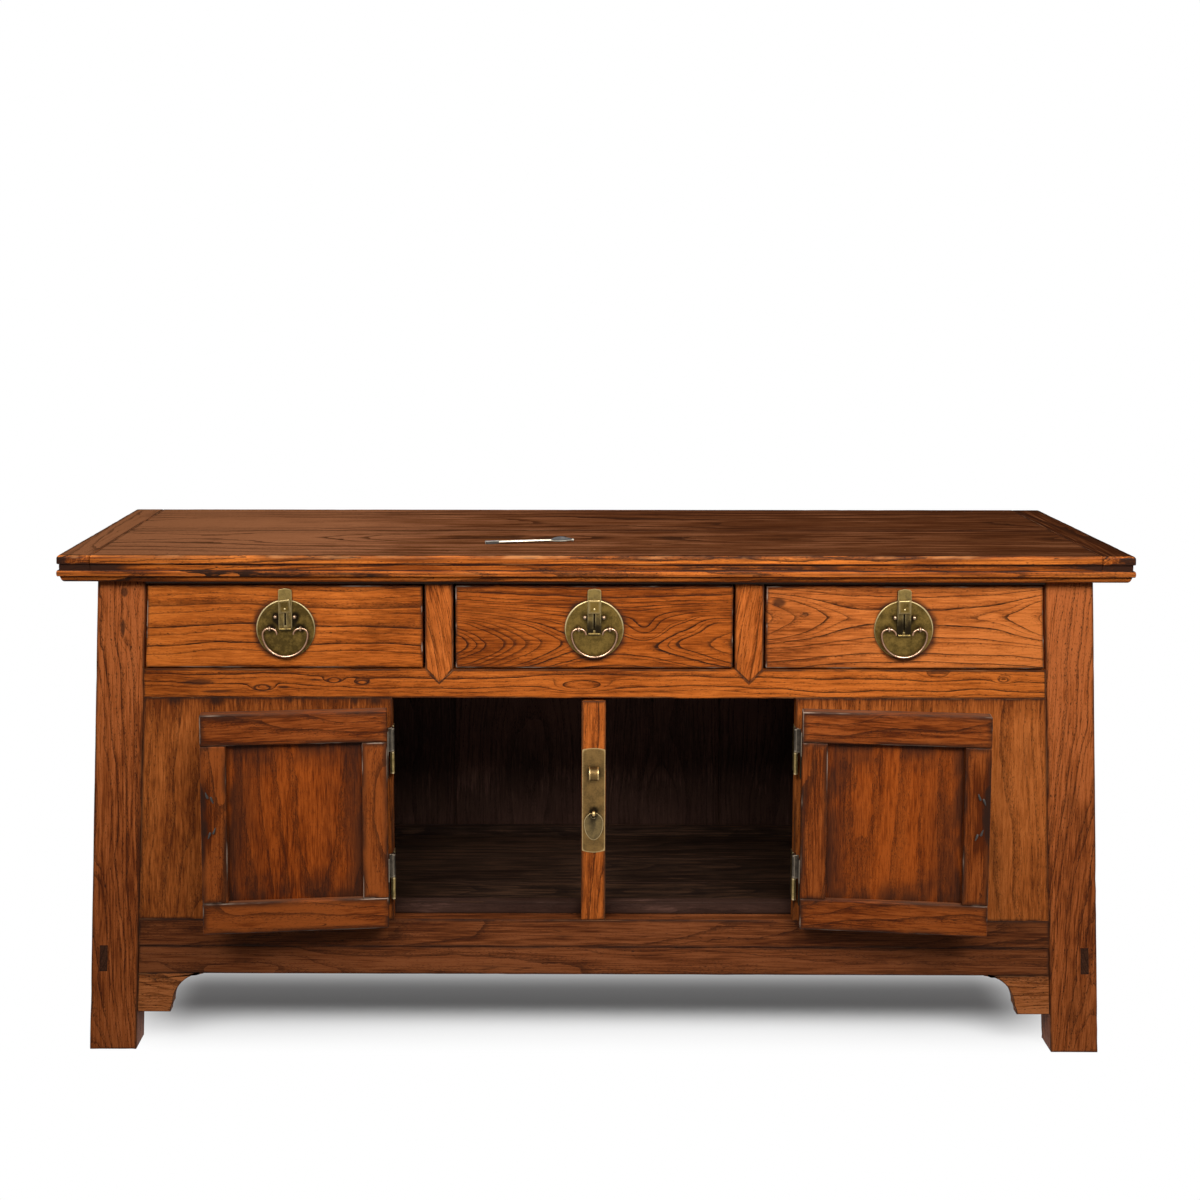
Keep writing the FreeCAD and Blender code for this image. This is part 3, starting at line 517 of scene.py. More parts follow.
def ringField(desk, look, axes, medium):
    # Distance from the pith, bent by arches and knots
    calc = desk.calc
    u, v = axes.outputs[0], axes.outputs[1]
    if look["arch"]:
        # Nested arches with their tips along the grain: axis, bluntness, half width, fading width,
        # then where the arches on the left end and those on the right begin, each with its slope
        axis, blunt, near, far, leftEnd, leftSlope, rightStart, rightSlope = look["arch"]
        off = calc("SUBTRACT", v, axis)
        reach = calc("SQRT", calc("MULTIPLY_ADD", off, off, blunt * blunt))
        fading = desk.fit(calc("ABSOLUTE", off), near, far, 1.0, 0.2)
        ends = ((calc("SUBTRACT", leftEnd, u), leftSlope), (calc("SUBTRACT", u, rightStart), rightSlope))
        for past, slope in ends:
            softly = calc("SQRT", calc("MULTIPLY_ADD", past, past, 0.045 ** 2))
            softly = calc("MULTIPLY", calc("ADD", past, softly), -slope / 2)
            reach = calc("MULTIPLY_ADD", softly, fading, reach)
    else:
        flat = desk.put("ShaderNodeCombineXYZ", {1: v, 2: axes.outputs[2]}).outputs[0]
        reach = desk.put("ShaderNodeVectorMath", {0: flat}, operation="LENGTH").outputs["Value"]
    # A knot pushes the rings round it: (along, across, half length, half width, push)
    for along, across, halfLong, halfWide, push in look["knots"]:
        far = desk.sway(medium, 0.8, desk.oval(axes, along, across, halfLong, halfWide))
        reach = calc("MULTIPLY_ADD", calc("POWER", 2.718, calc("MULTIPLY", far, -1.0)), push, reach)
    return reach


def elmMaterial(name, **changes):
    look = dict(elmBase, **changes)
    material = newMaterial(name)
    desk = Desk(material)
    calc = desk.calc
    grain, edge, tone = desk.painted()
    axes = desk.put("ShaderNodeSeparateXYZ", {0: grain})
    slow = desk.streaks(grain, look["waveLong"], 5.0, detail=1.0)
    medium = desk.streaks(grain, 10.0, 30.0, detail=2.0)
    fine = desk.streaks(grain, 90.0, 320.0, detail=3.0)
    reach = ringField(desk, look, axes, medium)
    for value, size in ((slow, look["wander"]), (medium, look["ripple"]), (fine, look["ragged"])):
        reach = desk.sway(value, size * 2, reach)
    turns = calc("DIVIDE", reach, look["ring"])
    uneven = desk.put("ShaderNodeTexNoise", {"W": turns, "Scale": 0.55, "Detail": 1.0},
                      noise_dimensions="1D")
    turns = calc("MULTIPLY_ADD", uneven.outputs["Fac"], 2.2, turns)
    phase = calc("FRACT", turns)
    chance = desk.put("ShaderNodeTexWhiteNoise", {"W": calc("FLOOR", turns)},
                      noise_dimensions="1D").outputs["Value"]
    chance = desk.fit(chance, 0.0, 0.8, look["chance"], 1.0, smooth=False)
    width = look["lineWidth"]
    dashes = desk.streaks(grain, 55.0, 260.0, detail=2.0)
    line = desk.fit(phase, width * 0.35, width, 1.0, 0.0)
    line = calc("MULTIPLY", calc("MULTIPLY", line, chance), desk.fit(dashes, 0.34, 0.52, 0.62, 1.0))
    band = calc("MULTIPLY", desk.fit(phase, 0.0, 0.55, 1.0, 0.0), chance)
    # Pores are short dark dashes, thickest near the lines
    dash = desk.streaks(grain, 190.0, 1700.0, detail=1.0)
    least = desk.fit(phase, 0.0, 0.5, 0.50, 0.64, smooth=False)
    pore = calc("MULTIPLY", calc("SUBTRACT", dash, least), 12.0, clamp=True)
    pore = calc("MULTIPLY", pore, look["pores"])
    fibre = desk.streaks(grain, look["fibreLong"], 170.0, detail=4.0, rough=0.62)
    hair = desk.streaks(grain, look["hairLong"], 460.0, detail=2.0)
    blotch = desk.streaks(grain, 5.0, 10.0, detail=4.0, rough=0.6)
    shade = calc("MULTIPLY_ADD", tone, 0.7, 0.20)
    for value, size in ((fibre, look["fibre"] * 4.0), (hair, look["fibre"] * 5.0),
                        (blotch, look["blotch"] * 3.0)):
        shade = desk.sway(value, size, shade)
    shade = calc("MULTIPLY_ADD", band, -look["band"], shade)
    wood = look["wood"]
    dark = [c * k for c, k in zip(wood, look["deeper"])]
    light = [c * k for c, k in zip(wood, look["paler"])]
    colour = desk.blend(desk.fit(shade, 0.0, 0.5, smooth=False), dark, wood)
    colour = desk.blend(desk.fit(shade, 0.5, 1.0, smooth=False), colour, light)
    old = desk.streaks(grain, 4.0, 12.0, detail=5.0, rough=0.66)
    colour = desk.blend(desk.fit(old, 0.55, 0.70, 0.0, look["stain"]), colour, [c * 0.30 for c in wood])
    inked = calc("MAXIMUM", calc("MULTIPLY", line, look["lineAmount"]), pore, clamp=True)
    if look["cracks"]:
        drift = desk.streaks(grain, 2.6, 95.0, detail=1.0)
        thin = desk.fit(calc("ABSOLUTE", calc("SUBTRACT", drift, 0.5)), 0.0, 0.012, 1.0, 0.0)
        gape = desk.streaks(grain, 5.0, 14.0, detail=1.0)
        inked = calc("MAXIMUM", inked,
                     calc("MULTIPLY", thin, desk.fit(gape, 0.54, 0.62, 0.0, look["cracks"])))
    colour = desk.blend(inked, colour, look["ink"])
    # Grime near the arrises, partly painted shade, and in dents; a painted shadow and dirt ring round a
    # pull;
    # black where the tone is below nought, for stains and painted shade in creases;
    # then the arris rubbed pale in places, partly a painted highlight
    patch = desk.streaks(grain, 12.0, 30.0, detail=3.0)
    dirt = calc("MULTIPLY", desk.fit(edge, 0.0, look["grimeReach"], 1.0, 0.0), desk.fit(patch, 0.26, 0.55))
    dirt = calc("MULTIPLY", dirt, look["grimeAmount"])
    cells = desk.put("ShaderNodeTexVoronoi", {"Vector": desk.stretch(grain, (16.0, 26.0, 26.0)),
                                              "Scale": 1.0})
    dot = desk.fit(cells.outputs["Distance"], 0.025, 0.060, 1.0, 0.0)
    chosen = desk.put("ShaderNodeSeparateColor", {0: cells.outputs["Color"]}).outputs[0]
    dot = calc("MULTIPLY", dot, desk.fit(chosen, 0.80, 0.84, 0.0, look["specks"]))
    dirt = calc("MAXIMUM", dirt, dot, clamp=True)
    # Dark eyes: (along, across, half length, half width, amount); a negative amount leaves the core plain
    for along, across, halfLong, halfWide, amount in look["eyes"]:
        away = desk.sway(patch, 1.6, desk.oval(axes, along, across, halfLong, halfWide))
        spot = desk.fit(away, 0.1 if amount > 0 else 0.7, 1.0 if amount > 0 else 1.9, abs(amount), 0.0)
        if amount < 0:
            spot = calc("MULTIPLY", spot, desk.fit(away, 0.3, 0.7))
        dirt = calc("MAXIMUM", dirt, spot)
    # A tone below nought turns black: stains on the door stiles, painted shade in creases of the top and
    # moulding
    soot = desk.sway(patch, desk.fit(tone, -0.2, 0.1, 2.2, 0.0), tone)
    dirt = calc("MAXIMUM", dirt, desk.fit(soot, -0.5, -0.1, 0.92, 0.0))
    # A painted shadow and dirt ring round the pull plate
    if look["plate"]:
        plateU, plateV, radius, reachOut = look["plate"]
        away = desk.sway(patch, 0.02, calc("SQRT", desk.oval(axes, plateU, plateV)))
        dirt = calc("MAXIMUM", dirt, desk.fit(away, radius, radius + reachOut, 0.85, 0.0))
    colour = desk.blend(dirt, colour, look["grime"])
    # The pale arris is wear with a painted highlight
    rub = calc("MULTIPLY", desk.fit(edge, 0.0003, look["rubReach"], 1.0, 0.0),
               desk.fit(patch, 0.52, 0.66, 0.0, look["rubAmount"]))
    colour = desk.blend(rub, colour, look["rubbed"])
    if look["dust"]:
        # Grey dust on the faces that look up
        up = desk.put("ShaderNodeSeparateXYZ",
                      {0: desk.put("ShaderNodeNewGeometry").outputs["True Normal"]}).outputs[2]
        settled = calc("MULTIPLY", desk.fit(up, 0.7, 0.95, 0.0, look["dust"]),
                       desk.fit(patch, 0.30, 0.60, 0.4, 1.0))
        colour = desk.blend(settled, colour, (0.17, 0.105, 0.068))
    roughness = calc("MULTIPLY_ADD", inked, 0.16, look["roughness"])
    roughness = desk.sway(blotch, 0.22, roughness)
    height = calc("SUBTRACT", calc("MULTIPLY", medium, 0.25),
                  calc("ADD", calc("MULTIPLY", inked, 0.6), dot))
    desk.finish(colour, roughness, height, 0.35, 0.0006, {"Specular IOR Level": look["specular"]})
    return material


# Old brass and copper: patina in clouds, black round the fixings and as painted shade under and behind
# parts, bright where it is rubbed and where a highlight is painted
def metalMaterial(name, deep, body, bright, roughness=0.42, mottle=90.0, rimReach=0.0016, rimAmount=0.8,
                  bump=0.2, metallic=1.0):
    material = newMaterial(name)
    desk = Desk(material)
    calc = desk.calc
    place, edge, tone = desk.painted()
    clouds = desk.cloud(place, scale=mottle, detail=4.0, rough=0.62)
    spots = desk.cloud(place, scale=mottle * 7, detail=2.0)
    share = desk.sway(spots, 1.0, desk.fit(clouds, 0.22, 0.78))
    share = desk.sway(tone, 1.6, share, clamp=True)
    colour = desk.blend(share, deep, body)
    # Bright rims: rubbing, and painted highlights where a piece's edge values mark them
    rub = calc("MULTIPLY", desk.fit(edge, 0.0002, rimReach, 1.0, 0.0), rimAmount)
    rub = calc("MULTIPLY", rub, desk.fit(spots, 0.25, 0.5, 0.45, 1.0))
    colour = desk.blend(rub, colour, bright)
    # Black where the tone is low: stains round fixings, and painted shade under and behind parts
    stain = desk.fit(desk.sway(clouds, 0.3, tone), 0.0, 0.26, 0.92, 0.0)
    colour = desk.blend(stain, colour, (0.010, 0.007, 0.004))
    rough = calc("MULTIPLY_ADD", share, -0.14, roughness + 0.10)
    rough = calc("MULTIPLY_ADD", rub, -0.12, rough)
    height = calc("MULTIPLY_ADD", clouds, 0.6, calc("MULTIPLY", spots, 0.4))
    desk.finish(colour, rough, height, bump, 0.0006, {"Metallic": metallic})
    return material


# The top's blue-heavy paler colour serves the painted sheen towards its left end
topWood = elmMaterial(
    "topElm", wood=(0.080, 0.0250, 0.0088), ring=0.009, lineWidth=0.30, lineAmount=0.75, fibreLong=1.4,
    fibre=0.36, blotch=0.35, hairLong=5.0, wander=0.03, waveLong=1.3, specular=0.0,
    rubbed=(0.40, 0.20, 0.09), rubAmount=0.5, ink=(0.020, 0.008, 0.004), cracks=0.8, stain=0.3,
    paler=(2.6, 3.2, 3.8),
)
edgeFigure = {
    "ring": 0.006, "lineWidth": 0.3, "lineAmount": 1.0, "pores": 1.0, "fibreLong": 2.6, "fibre": 0.5,
    "hairLong": 8.0, "waveLong": 1.3, "cracks": 0.9,
}
edgeWood = elmMaterial("edgeElm", wood=(0.45, 0.112, 0.0140), blotch=0.5, rubbed=(0.60, 0.25, 0.085),
                       rubAmount=0.4, grimeReach=0.004, grimeAmount=0.6, **edgeFigure)
mouldingWood = elmMaterial("mouldingElm", wood=(0.36, 0.086, 0.0115), blotch=0.6, rubbed=(0.55, 0.22, 0.07),
                           rubAmount=0.3, grimeReach=0.0016, **edgeFigure)
frameFigure = {"ring": 0.0055, "fibre": 0.46, "fibreLong": 4.0, "pores": 1.0, "lineAmount": 0.5}
legFigure = dict(frameFigure, wood=(0.28, 0.068, 0.014), hairLong=18.0, cracks=0.6)
frameWood = elmMaterial("frameElm", **legFigure)
knottyWood = elmMaterial(
    "knottyElm",
    knots=((0.368, -0.0640, 0.020, 0.012, 0.007), (0.312, -0.0600, 0.030, 0.012, 0.008)),
    eyes=((0.372, -0.0625, 0.009, 0.006, 0.75), (0.312, -0.0600, 0.016, 0.004, 0.8)),
    **legFigure,
)
# The brackets' paler, greyer wood is painted light where they catch it
bracketWood = elmMaterial("bracketElm", wood=(0.30, 0.088, 0.022), **frameFigure)
railWood = elmMaterial("railElm", wood=(0.34, 0.081, 0.012), ring=0.0065, fibre=0.36, lineAmount=0.65)
midRailWood = elmMaterial(
    "midRailElm", wood=(0.34, 0.080, 0.010), ring=0.0075, wander=0.012, fibre=0.3, cracks=0.6,
    knots=((-0.546, 0.096, 0.020, 0.007, 0.016), (-0.430, 0.108, 0.016, 0.006, 0.014),
           (-0.384, 0.104, 0.014, 0.005, 0.012), (-0.022, 0.096, 0.045, 0.010, 0.022),
           (0.565, 0.112, 0.020, 0.007, 0.014), (0.673, 0.104, 0.014, 0.006, 0.014)),
    eyes=((-0.548, 0.096, 0.013, 0.0050, -0.9), (-0.428, 0.108, 0.011, 0.0042, -0.9),
          (-0.382, 0.104, 0.012, 0.0042, -0.9), (-0.512, 0.097, 0.012, 0.0030, 0.8),
          (-0.655, 0.106, 0.034, 0.006, 0.75), (-0.620, 0.090, 0.030, 0.003, 0.7),
          (-0.460, 0.109, 0.014, 0.0025, 0.7), (0.565, 0.116, 0.018, 0.003, 0.7),
          (0.673, 0.104, 0.008, 0.0045, -0.7)),
)
lowWood = elmMaterial("lowElm", wood=(0.140, 0.038, 0.010), ring=0.007, wander=0.008, fibre=0.46,
                      fibreLong=3.5, hairLong=14.0, cracks=0.7, lineAmount=0.5)
panelWood = elmMaterial("panelElm", wood=(0.29, 0.074, 0.013), ring=0.012, lineAmount=0.25, band=0.15,
                        fibre=0.34, fibreLong=5.0, blotch=0.45, specks=1.0, cracks=0.5)
doorWood = elmMaterial("doorElm", wood=(0.190, 0.041, 0.0062), ring=0.008, lineAmount=0.6, fibre=0.5,
                       blotch=0.7, grimeReach=0.012, rubbed=(0.42, 0.30, 0.22), rubAmount=0.75,
                       rubReach=0.0028, specks=0.6, cracks=0.8, dust=0.3, hairLong=20.0)
# Its darkening up to 5 cm in from the edges is painted shade round the recessed panel
doorPanelWood = elmMaterial("doorPanelElm", wood=(0.222, 0.042, 0.0045), ring=0.020, lineWidth=0.4,
                            lineAmount=0.25, band=0.15, fibre=0.42, blotch=0.5, fibreLong=3.0, stain=0.25,
                            grimeReach=0.05, grimeAmount=0.85, rubAmount=0.0, specks=0.2, roughness=0.40)
floorWood = elmMaterial("floorSoftwood", wood=(0.022, 0.0112, 0.0066), ring=0.009, lineWidth=0.3,
                        lineAmount=0.4, fibre=0.6, fibreLong=2.0, hairLong=8.0, paler=(2.4, 2.2, 2.0),
                        rubAmount=0.05, roughness=0.6, ink=(0.008, 0.004, 0.003))
# Its strong paler colour serves the painted light high on the back
innerWood = elmMaterial("innerSoftwood", wood=(0.050, 0.024, 0.0165), ring=0.009, lineWidth=0.3,
                        lineAmount=0.15, band=0.10, fibre=0.12, stain=0.1, paler=(4.0, 4.0, 4.2),
                        rubAmount=0.05, roughness=0.6, ink=(0.012, 0.006, 0.004))
tenonWood = elmMaterial("tenonElm", wood=(0.060, 0.022, 0.010), ring=0.004, grimeReach=0.003,
                        grimeAmount=1.0, rubAmount=0.0)
boxWood = elmMaterial("boxSoftwood", wood=(0.25, 0.125, 0.055), ring=0.008, lineWidth=0.4, lineAmount=0.4,
                      fibre=0.3, rubAmount=0.1, roughness=0.62, ink=(0.09, 0.04, 0.018), pores=0.25)
# Each drawer front has its own figure: where the pith lies, how it leans, its arches and knots
drawers = {
    "left": {
        "side": -1, "pith": (-0.25, 0.10), "tilt": (0.01, 0.03), "tone": (0.98, 0.24),
        "plate": (0.0, 0.247),
        "wood": {"ring": 0.0150, "lineWidth": 0.14, "lineAmount": 1.0, "chance": 0.5, "wander": 0.026,
                 "waveLong": 2.6, "wood": (0.365, 0.086, 0.0105)},
    },
    "centre": {
        "side": 1, "pith": (0.0, 0.0), "tilt": (0.0, 0.0), "tone": (0.18, 0.34),
        "plate": (0.0, -0.003),
        "wood": {"ring": 0.0085, "lineWidth": 0.25, "lineAmount": 1.0, "chance": 0.6, "wander": 0.008,
                 "ripple": 0.0045, "wood": (0.30, 0.068, 0.0078),
                 "arch": (-0.028, 0.012, 0.030, 0.075, -0.02, 0.40, 0.09, 0.28),
                 "knots": ((0.085, -0.004, 0.030, 0.022, 0.022), (0.190, 0.012, 0.030, 0.016, -0.010))},
    },
    "right": {
        "side": 1, "pith": (0.0, 0.0), "tilt": (0.0, 0.0), "tone": (0.16, 1.05),
        "plate": (0.0, -0.003),
        "wood": {"ring": 0.0150, "lineWidth": 0.14, "lineAmount": 1.0, "chance": 0.5, "wander": 0.010,
                 "ripple": 0.0045, "wood": (0.37, 0.095, 0.0165),
                 "arch": (0.016, 0.008, 0.022, 0.060, -0.100, 0.46, 0.165, 0.60),
                 "knots": ((-0.160, 0.022, 0.012, 0.008, -0.012),),
                 "eyes": ((-0.163, 0.022, 0.007, 0.004, 0.7), (-0.207, 0.042, 0.014, 0.010, 0.8))},
    },
}
drawerFigure = {"rubbed": (0.50, 0.37, 0.28), "rubAmount": 0.7, "rubReach": 0.0030, "fibre": 0.33}
# Radius and reach of the painted shadow and dirt ring round each pull
stainRound = (0.0465, 0.011)
for name, drawer in drawers.items():
    figure = dict(drawerFigure, plate=drawer["plate"] + stainRound, **drawer["wood"])
    drawer["finish"] = elmMaterial("drawer" + name.capitalize() + "Elm", **figure)
plateBrass = metalMaterial("oliveBrass", (0.062, 0.039, 0.010), (0.190, 0.118, 0.029), (0.62, 0.48, 0.24),
                           mottle=110.0)
boltBrass = metalMaterial("paleOliveBrass", (0.085, 0.058, 0.022), (0.250, 0.168, 0.052),
                          (0.55, 0.42, 0.20), mottle=110.0, rimAmount=0.55)
lockBrass = metalMaterial("brownBrass", (0.095, 0.057, 0.021), (0.215, 0.122, 0.040), (0.55, 0.38, 0.17),
                          mottle=60.0)
wireBrass = metalMaterial("rubbedCopper", (0.060, 0.026, 0.012), (0.25, 0.108, 0.052), (0.64, 0.41, 0.27),
                          roughness=0.26, mottle=110.0, bump=0.05, rimReach=0.0030, rimAmount=0.75)
eyeBrass = metalMaterial("stainedCopper", (0.045, 0.026, 0.014), (0.17, 0.098, 0.052), (0.46, 0.31, 0.20),
                         mottle=160.0, rimReach=0.0010, rimAmount=0.6)
hingeBrass = metalMaterial("dullBrass", (0.12, 0.085, 0.030), (0.38, 0.27, 0.105), (0.65, 0.50, 0.27))
greyBrass = metalMaterial("greyBrass", (0.034, 0.028, 0.022), (0.100, 0.080, 0.060), (0.32, 0.26, 0.19))
clenchIron = metalMaterial("blackIron", (0.012, 0.009, 0.007), (0.036, 0.028, 0.021), (0.22, 0.17, 0.12),
                           roughness=0.6, rimReach=0.0009, metallic=0.0)
pinMetal = metalMaterial("paleBrass", (0.30, 0.25, 0.17), (0.62, 0.56, 0.44), (0.85, 0.80, 0.68),
                         roughness=0.28)
pinDark = metalMaterial("darkBrass", (0.020, 0.018, 0.016), (0.060, 0.053, 0.045), (0.45, 0.40, 0.30),
                        roughness=0.45, rimReach=0.0005, metallic=0.3)
pendantBrass = metalMaterial("greyOliveBrass", (0.085, 0.060, 0.028), (0.200, 0.135, 0.055),
                             (0.66, 0.50, 0.26), mottle=90.0, rimReach=0.0011, rimAmount=0.75)
print("materials made")

# Table top: planks, cleats and the moulding under their edge
topLook = {
    "corner": 0.0030, "wear": (0.0008, 0.0016), "groove": 0.003, "noseLow": 0.8354, "noseHigh": 0.845,
    "edgeLevels": 11, "plankInside": (0.0015, 0.006, 0.02, 0.045), "cleatInside": (0.0015, 0.005, 0.012),
    "endFrom": 0.73, "endDark": 0.95, "grooveDark": 0.74, "edgeTone": 0.66,
}


def noseProfile(joint, inside):
    # Levels from the underside up; joint tells which sides meet another piece and keep a close seam
    top = case["height"]
    low = case["underPlanks"]
    groove = topLook["groove"]
    noseLow = topLook["noseLow"]
    noseHigh = topLook["noseHigh"]
    rise = top - noseHigh
    steps = [(low, groove, 0.004), (low + 0.0022, groove, 0.004), (noseLow - 0.0028, groove, 0.004),
             (noseLow - 0.0008, groove, 0.004), (noseLow, groove - 0.001, 0.003), (noseLow, 0.0008, 0.0005),
             (noseLow + 0.0006, 0.0, 0.0), (noseLow + 0.003, 0.0, 0.003)]
    for turn in (0, 22.5, 45, 67.5, 90):
        a = math.radians(turn)
        steps.append((noseHigh + rise * math.sin(a), rise * (1 - math.cos(a)),
                      0.0012 if turn in (0, 90) else 0.0))
    steps += [(top, rise + reach, reach) for reach in inside]
    levels = []
    for height, inset, edge in steps:
        seam = 0.0 if height < top - 0.0004 else max(0.0005, inset - rise)
        insets = [seam if side in joint else inset for side in ("left", "right", "front", "back")]
        levels.append([height] + insets + [edge])
    return levels


def topTone(left, right):
    # Paler towards the left, a painted sheen; the edge is dark and worn at the ends,
    # darker in the recess as painted shade, and black lines of painted shade under the nose and the recess
    def tone(points):
        x, z = points[:, 0], points[:, 2]
        share = np.clip(x / (2 * case["cleatJoint"]) + 0.5, 0, 1)
        end = np.clip((np.abs(x) - topLook["endFrom"]) / (case["topHalfWide"] - topLook["endFrom"]), 0, 1)
        face = right + (left - right) * (1 - share) ** 3
        seam = (z < case["underPlanks"] + 0.001) | (np.abs(z - topLook["noseLow"]) < 0.0011)
        groove = np.where(z < topLook["noseLow"], topLook["grooveDark"], 0.0)
        side = np.where(seam, blackTone, topLook["edgeTone"] - groove - topLook["endDark"] * end)
        return np.where(z > topLook["noseHigh"] + 0.003, face, side)
    return tone


deep = case["topHalfDeep"]
wide = case["topHalfWide"]
jointX = case["cleatJoint"]
middle = case["middle"]
topFinish = [topWood, edgeWood]
# Each tone pair is the left and right end of the painted sheen, paler to the left; the cleats take 1.5 and
# 0.20
for name, y, joint, pith, tone in (
    ("front", (middle - deep, middle), ("left", "right", "back"), (0.05, -0.11), (2.2, 0.28)),
    ("rear", (middle, middle + deep), ("left", "right", "front"), (-0.04, -0.13), (2.0, 0.25)),
):
    shape = newShape()
    addTier(shape, (-jointX, jointX), y, noseProfile(joint, topLook["plankInside"]), "xyz", 0.0006, pith,
            (0.004, 0.015), topTone(*tone), topLook["wear"], topLook["edgeLevels"])
    dressNode("top_plank_" + name, shape, topFinish, "case")
for side, name in bothSides:
    shape = newShape()
    x = (jointX, wide) if side > 0 else (-wide, -jointX)
    joint = ("left",) if side > 0 else ("right",)
    addTier(shape, x, (middle - deep, middle + deep), noseProfile(joint, topLook["cleatInside"]), "yxz",
            topLook["corner"], (0.03, -0.08), (0.01, 0.02), topTone(1.5, 0.20), topLook["wear"],
            topLook["edgeLevels"])
    dressNode("top_cleat_" + name, shape, topFinish, "case")

mouldingLook = {
    "bead": 0.010, "beadIn": 0.003, "coveIn": 0.011, "notchHalf": 0.0125, "notchInset": 0.0196,
    "wear": (0.0006, 0.0012), "mitre": 0.012, "beadTone": 0.75, "coveTone": 0.65,
}


def mouldingProfile():
    low = case["underMoulding"]
    high = case["underPlanks"]
    mid = high - mouldingLook["bead"]
    beadIn = mouldingLook["beadIn"]
    points = [(case["overhang"], high, 0.01), (beadIn + 0.0006, high, 0.0006)]
    for turn in (-60, -35, 0, 35, 60):
        a = math.radians(turn)
        z = (high + mid) / 2 - mouldingLook["bead"] / 2 * math.sin(a) / math.sin(math.radians(62))
        points.append((beadIn * (1 - math.cos(a)) * 0.8, z, 0.0005 + 0.002 * abs(math.sin(a))))
    points.append((beadIn + 0.0012, mid, 0.0006))
    for share in (0.2, 0.45, 0.7, 0.9):
        a = share * math.pi / 2
        points.append((beadIn + 0.002 + (mouldingLook["coveIn"] - beadIn - 0.002) * (1 - math.cos(a)),
                       mid - (mid - low) * math.sin(a), 0.003))
    points.append((mouldingLook["coveIn"], low, 0.0006))
    points.append((case["overhang"], low, 0.004))
    return points


def addMoulding(shape, halfLong, halfAcross, place, notches, step=0.015):
    seed = nextSeed()
    profile = mouldingProfile()
    count = round(2 * halfLong / step)
    spots = [(-halfLong + 2 * halfLong * i / count) for i in range(count + 1)]
    for bolt in notches:
        for turn in (-1, 1):
            for extra in (-0.0001, 0.0001):
                spots.append(bolt + turn * mouldingLook["notchHalf"] + extra)
    spots = sorted(spots)
    points = []
    edges = []
    grain = []
    mitre = halfLong - case["overhang"] - mouldingLook["mitre"]
    for spot in spots:
        beyond = max(0.0, abs(spot) - mitre) / (halfLong - mitre)
        cut = any(abs(spot - bolt) < mouldingLook["notchHalf"] for bolt in notches)
        for inset, z, edge in profile:
            if cut:
                inset = min(inset, mouldingLook["notchInset"])
            along = spot - math.copysign(inset * beyond, spot)
            points.append((along, inset, z))
            edges.append(edge)
            grain.append((along + seed, z - 0.80, inset + 0.12 + 0.02 * along))
    points = np.array(points)
    points[:, 1] += wornDepth(points, np.array(edges), seed, mouldingLook["wear"])
    faces = closedBands(len(spots), len(profile), inward=True)
    placed = np.array([place(a, halfAcross - b, z) for a, b, z in points])
    gather(shape, placed, faces, grain, edges, mouldingTone)


def mouldingTone(points):
    # The bead is paler than the cove under it, both lifted in tone as painted light where they face down,
    # with black lines of painted shade above it and between them
    mid = case["underPlanks"] - mouldingLook["bead"]
    z = points[:, 2]
    seam = (z > case["underPlanks"] - 0.001) | (np.abs(z - mid) < 0.0007)
    return np.where(seam, blackTone, np.where(z > mid, mouldingLook["beadTone"], mouldingLook["coveTone"]))


shape = newShape()
addMoulding(shape, wide, deep, lambda a, b, z: (a, middle - b, z), case["pullAt"].values())
addMoulding(shape, wide, deep, lambda a, b, z: (-a, middle + b, z), ())
addMoulding(shape, deep, wide, lambda a, b, z: (b, middle + a, z), ())
addMoulding(shape, deep, wide, lambda a, b, z: (-b, middle - a, z), ())
dressNode("top_edge_moulding", shape, mouldingWood, "case")
print("table top made")

# Legs, with the through tenons of the lower side rails showing in the front ones
legLook = {"radius": 0.0016, "wear": (0.0011, 0.0016), "top": 0.825, "dull": 0.35, "clear": 0.70,
           "scuffs": 0.22, "scuffed": 0.45}


def darkBelow(low, high):
    # The legs darken towards the floor, most a hand above it: painted shade where less light reaches,
    # partly dirt
    def tone(points):
        z = points[:, 2]
        share = np.clip((z - legLook["dull"]) / (legLook["clear"] - legLook["dull"]), 0, 1)
        return low + (high - low) * share + legLook["scuffed"] * np.clip(1 - z / legLook["scuffs"], 0, 1)
    return tone


for where, y in (("front", (front, legBack)), ("rear", (rearLegFront, rear))):
    # The right legs are painted paler than the left, as painted light
    for side, name, tone in ((-1, "left", darkBelow(0.36, 1.10)), (1, "right", darkBelow(0.50, 1.30))):
        shape = newShape()
        knotty = where == "front" and side < 0
        addBoard(shape, (legInner, legOuter), y, (0.0, legLook["top"]), "zxy", radius=legLook["radius"],
                 pith=(0.05, 0.045), tilt=(0.02, 0.035) if knotty else (0.07, 0.05), tone=tone,
                 wear=legLook["wear"], side=side, seed=0.0 if knotty else None)
        dressNode(where + "_leg_" + name, shape, knottyWood if knotty else frameWood, "case")

# Front rails, apron, brackets and dividers
railLook = {"deep": 0.045, "apronSetback": 0.0015, "apronThick": 0.020, "dividerThick": 0.022,
            "dividerNear": 0.232, "dividerFar": 0.278, "dividerTip": 0.634, "pith": (-0.10, 0.05),
            "tilt": (0.006, 0.02)}
shape = newShape()
near, far, tip = railLook["dividerNear"], railLook["dividerFar"], railLook["dividerTip"]
midLow, midHigh = case["midLow"], case["midHigh"]
outline = [(-legInner(midLow), midLow), (legInner(midLow), midLow), (legInner(midHigh), midHigh),
           (far, midHigh), ((near + far) / 2, tip), (near, midHigh), (-near, midHigh),
           (-(near + far) / 2, tip), (-far, midHigh), (-legInner(midHigh), midHigh)]
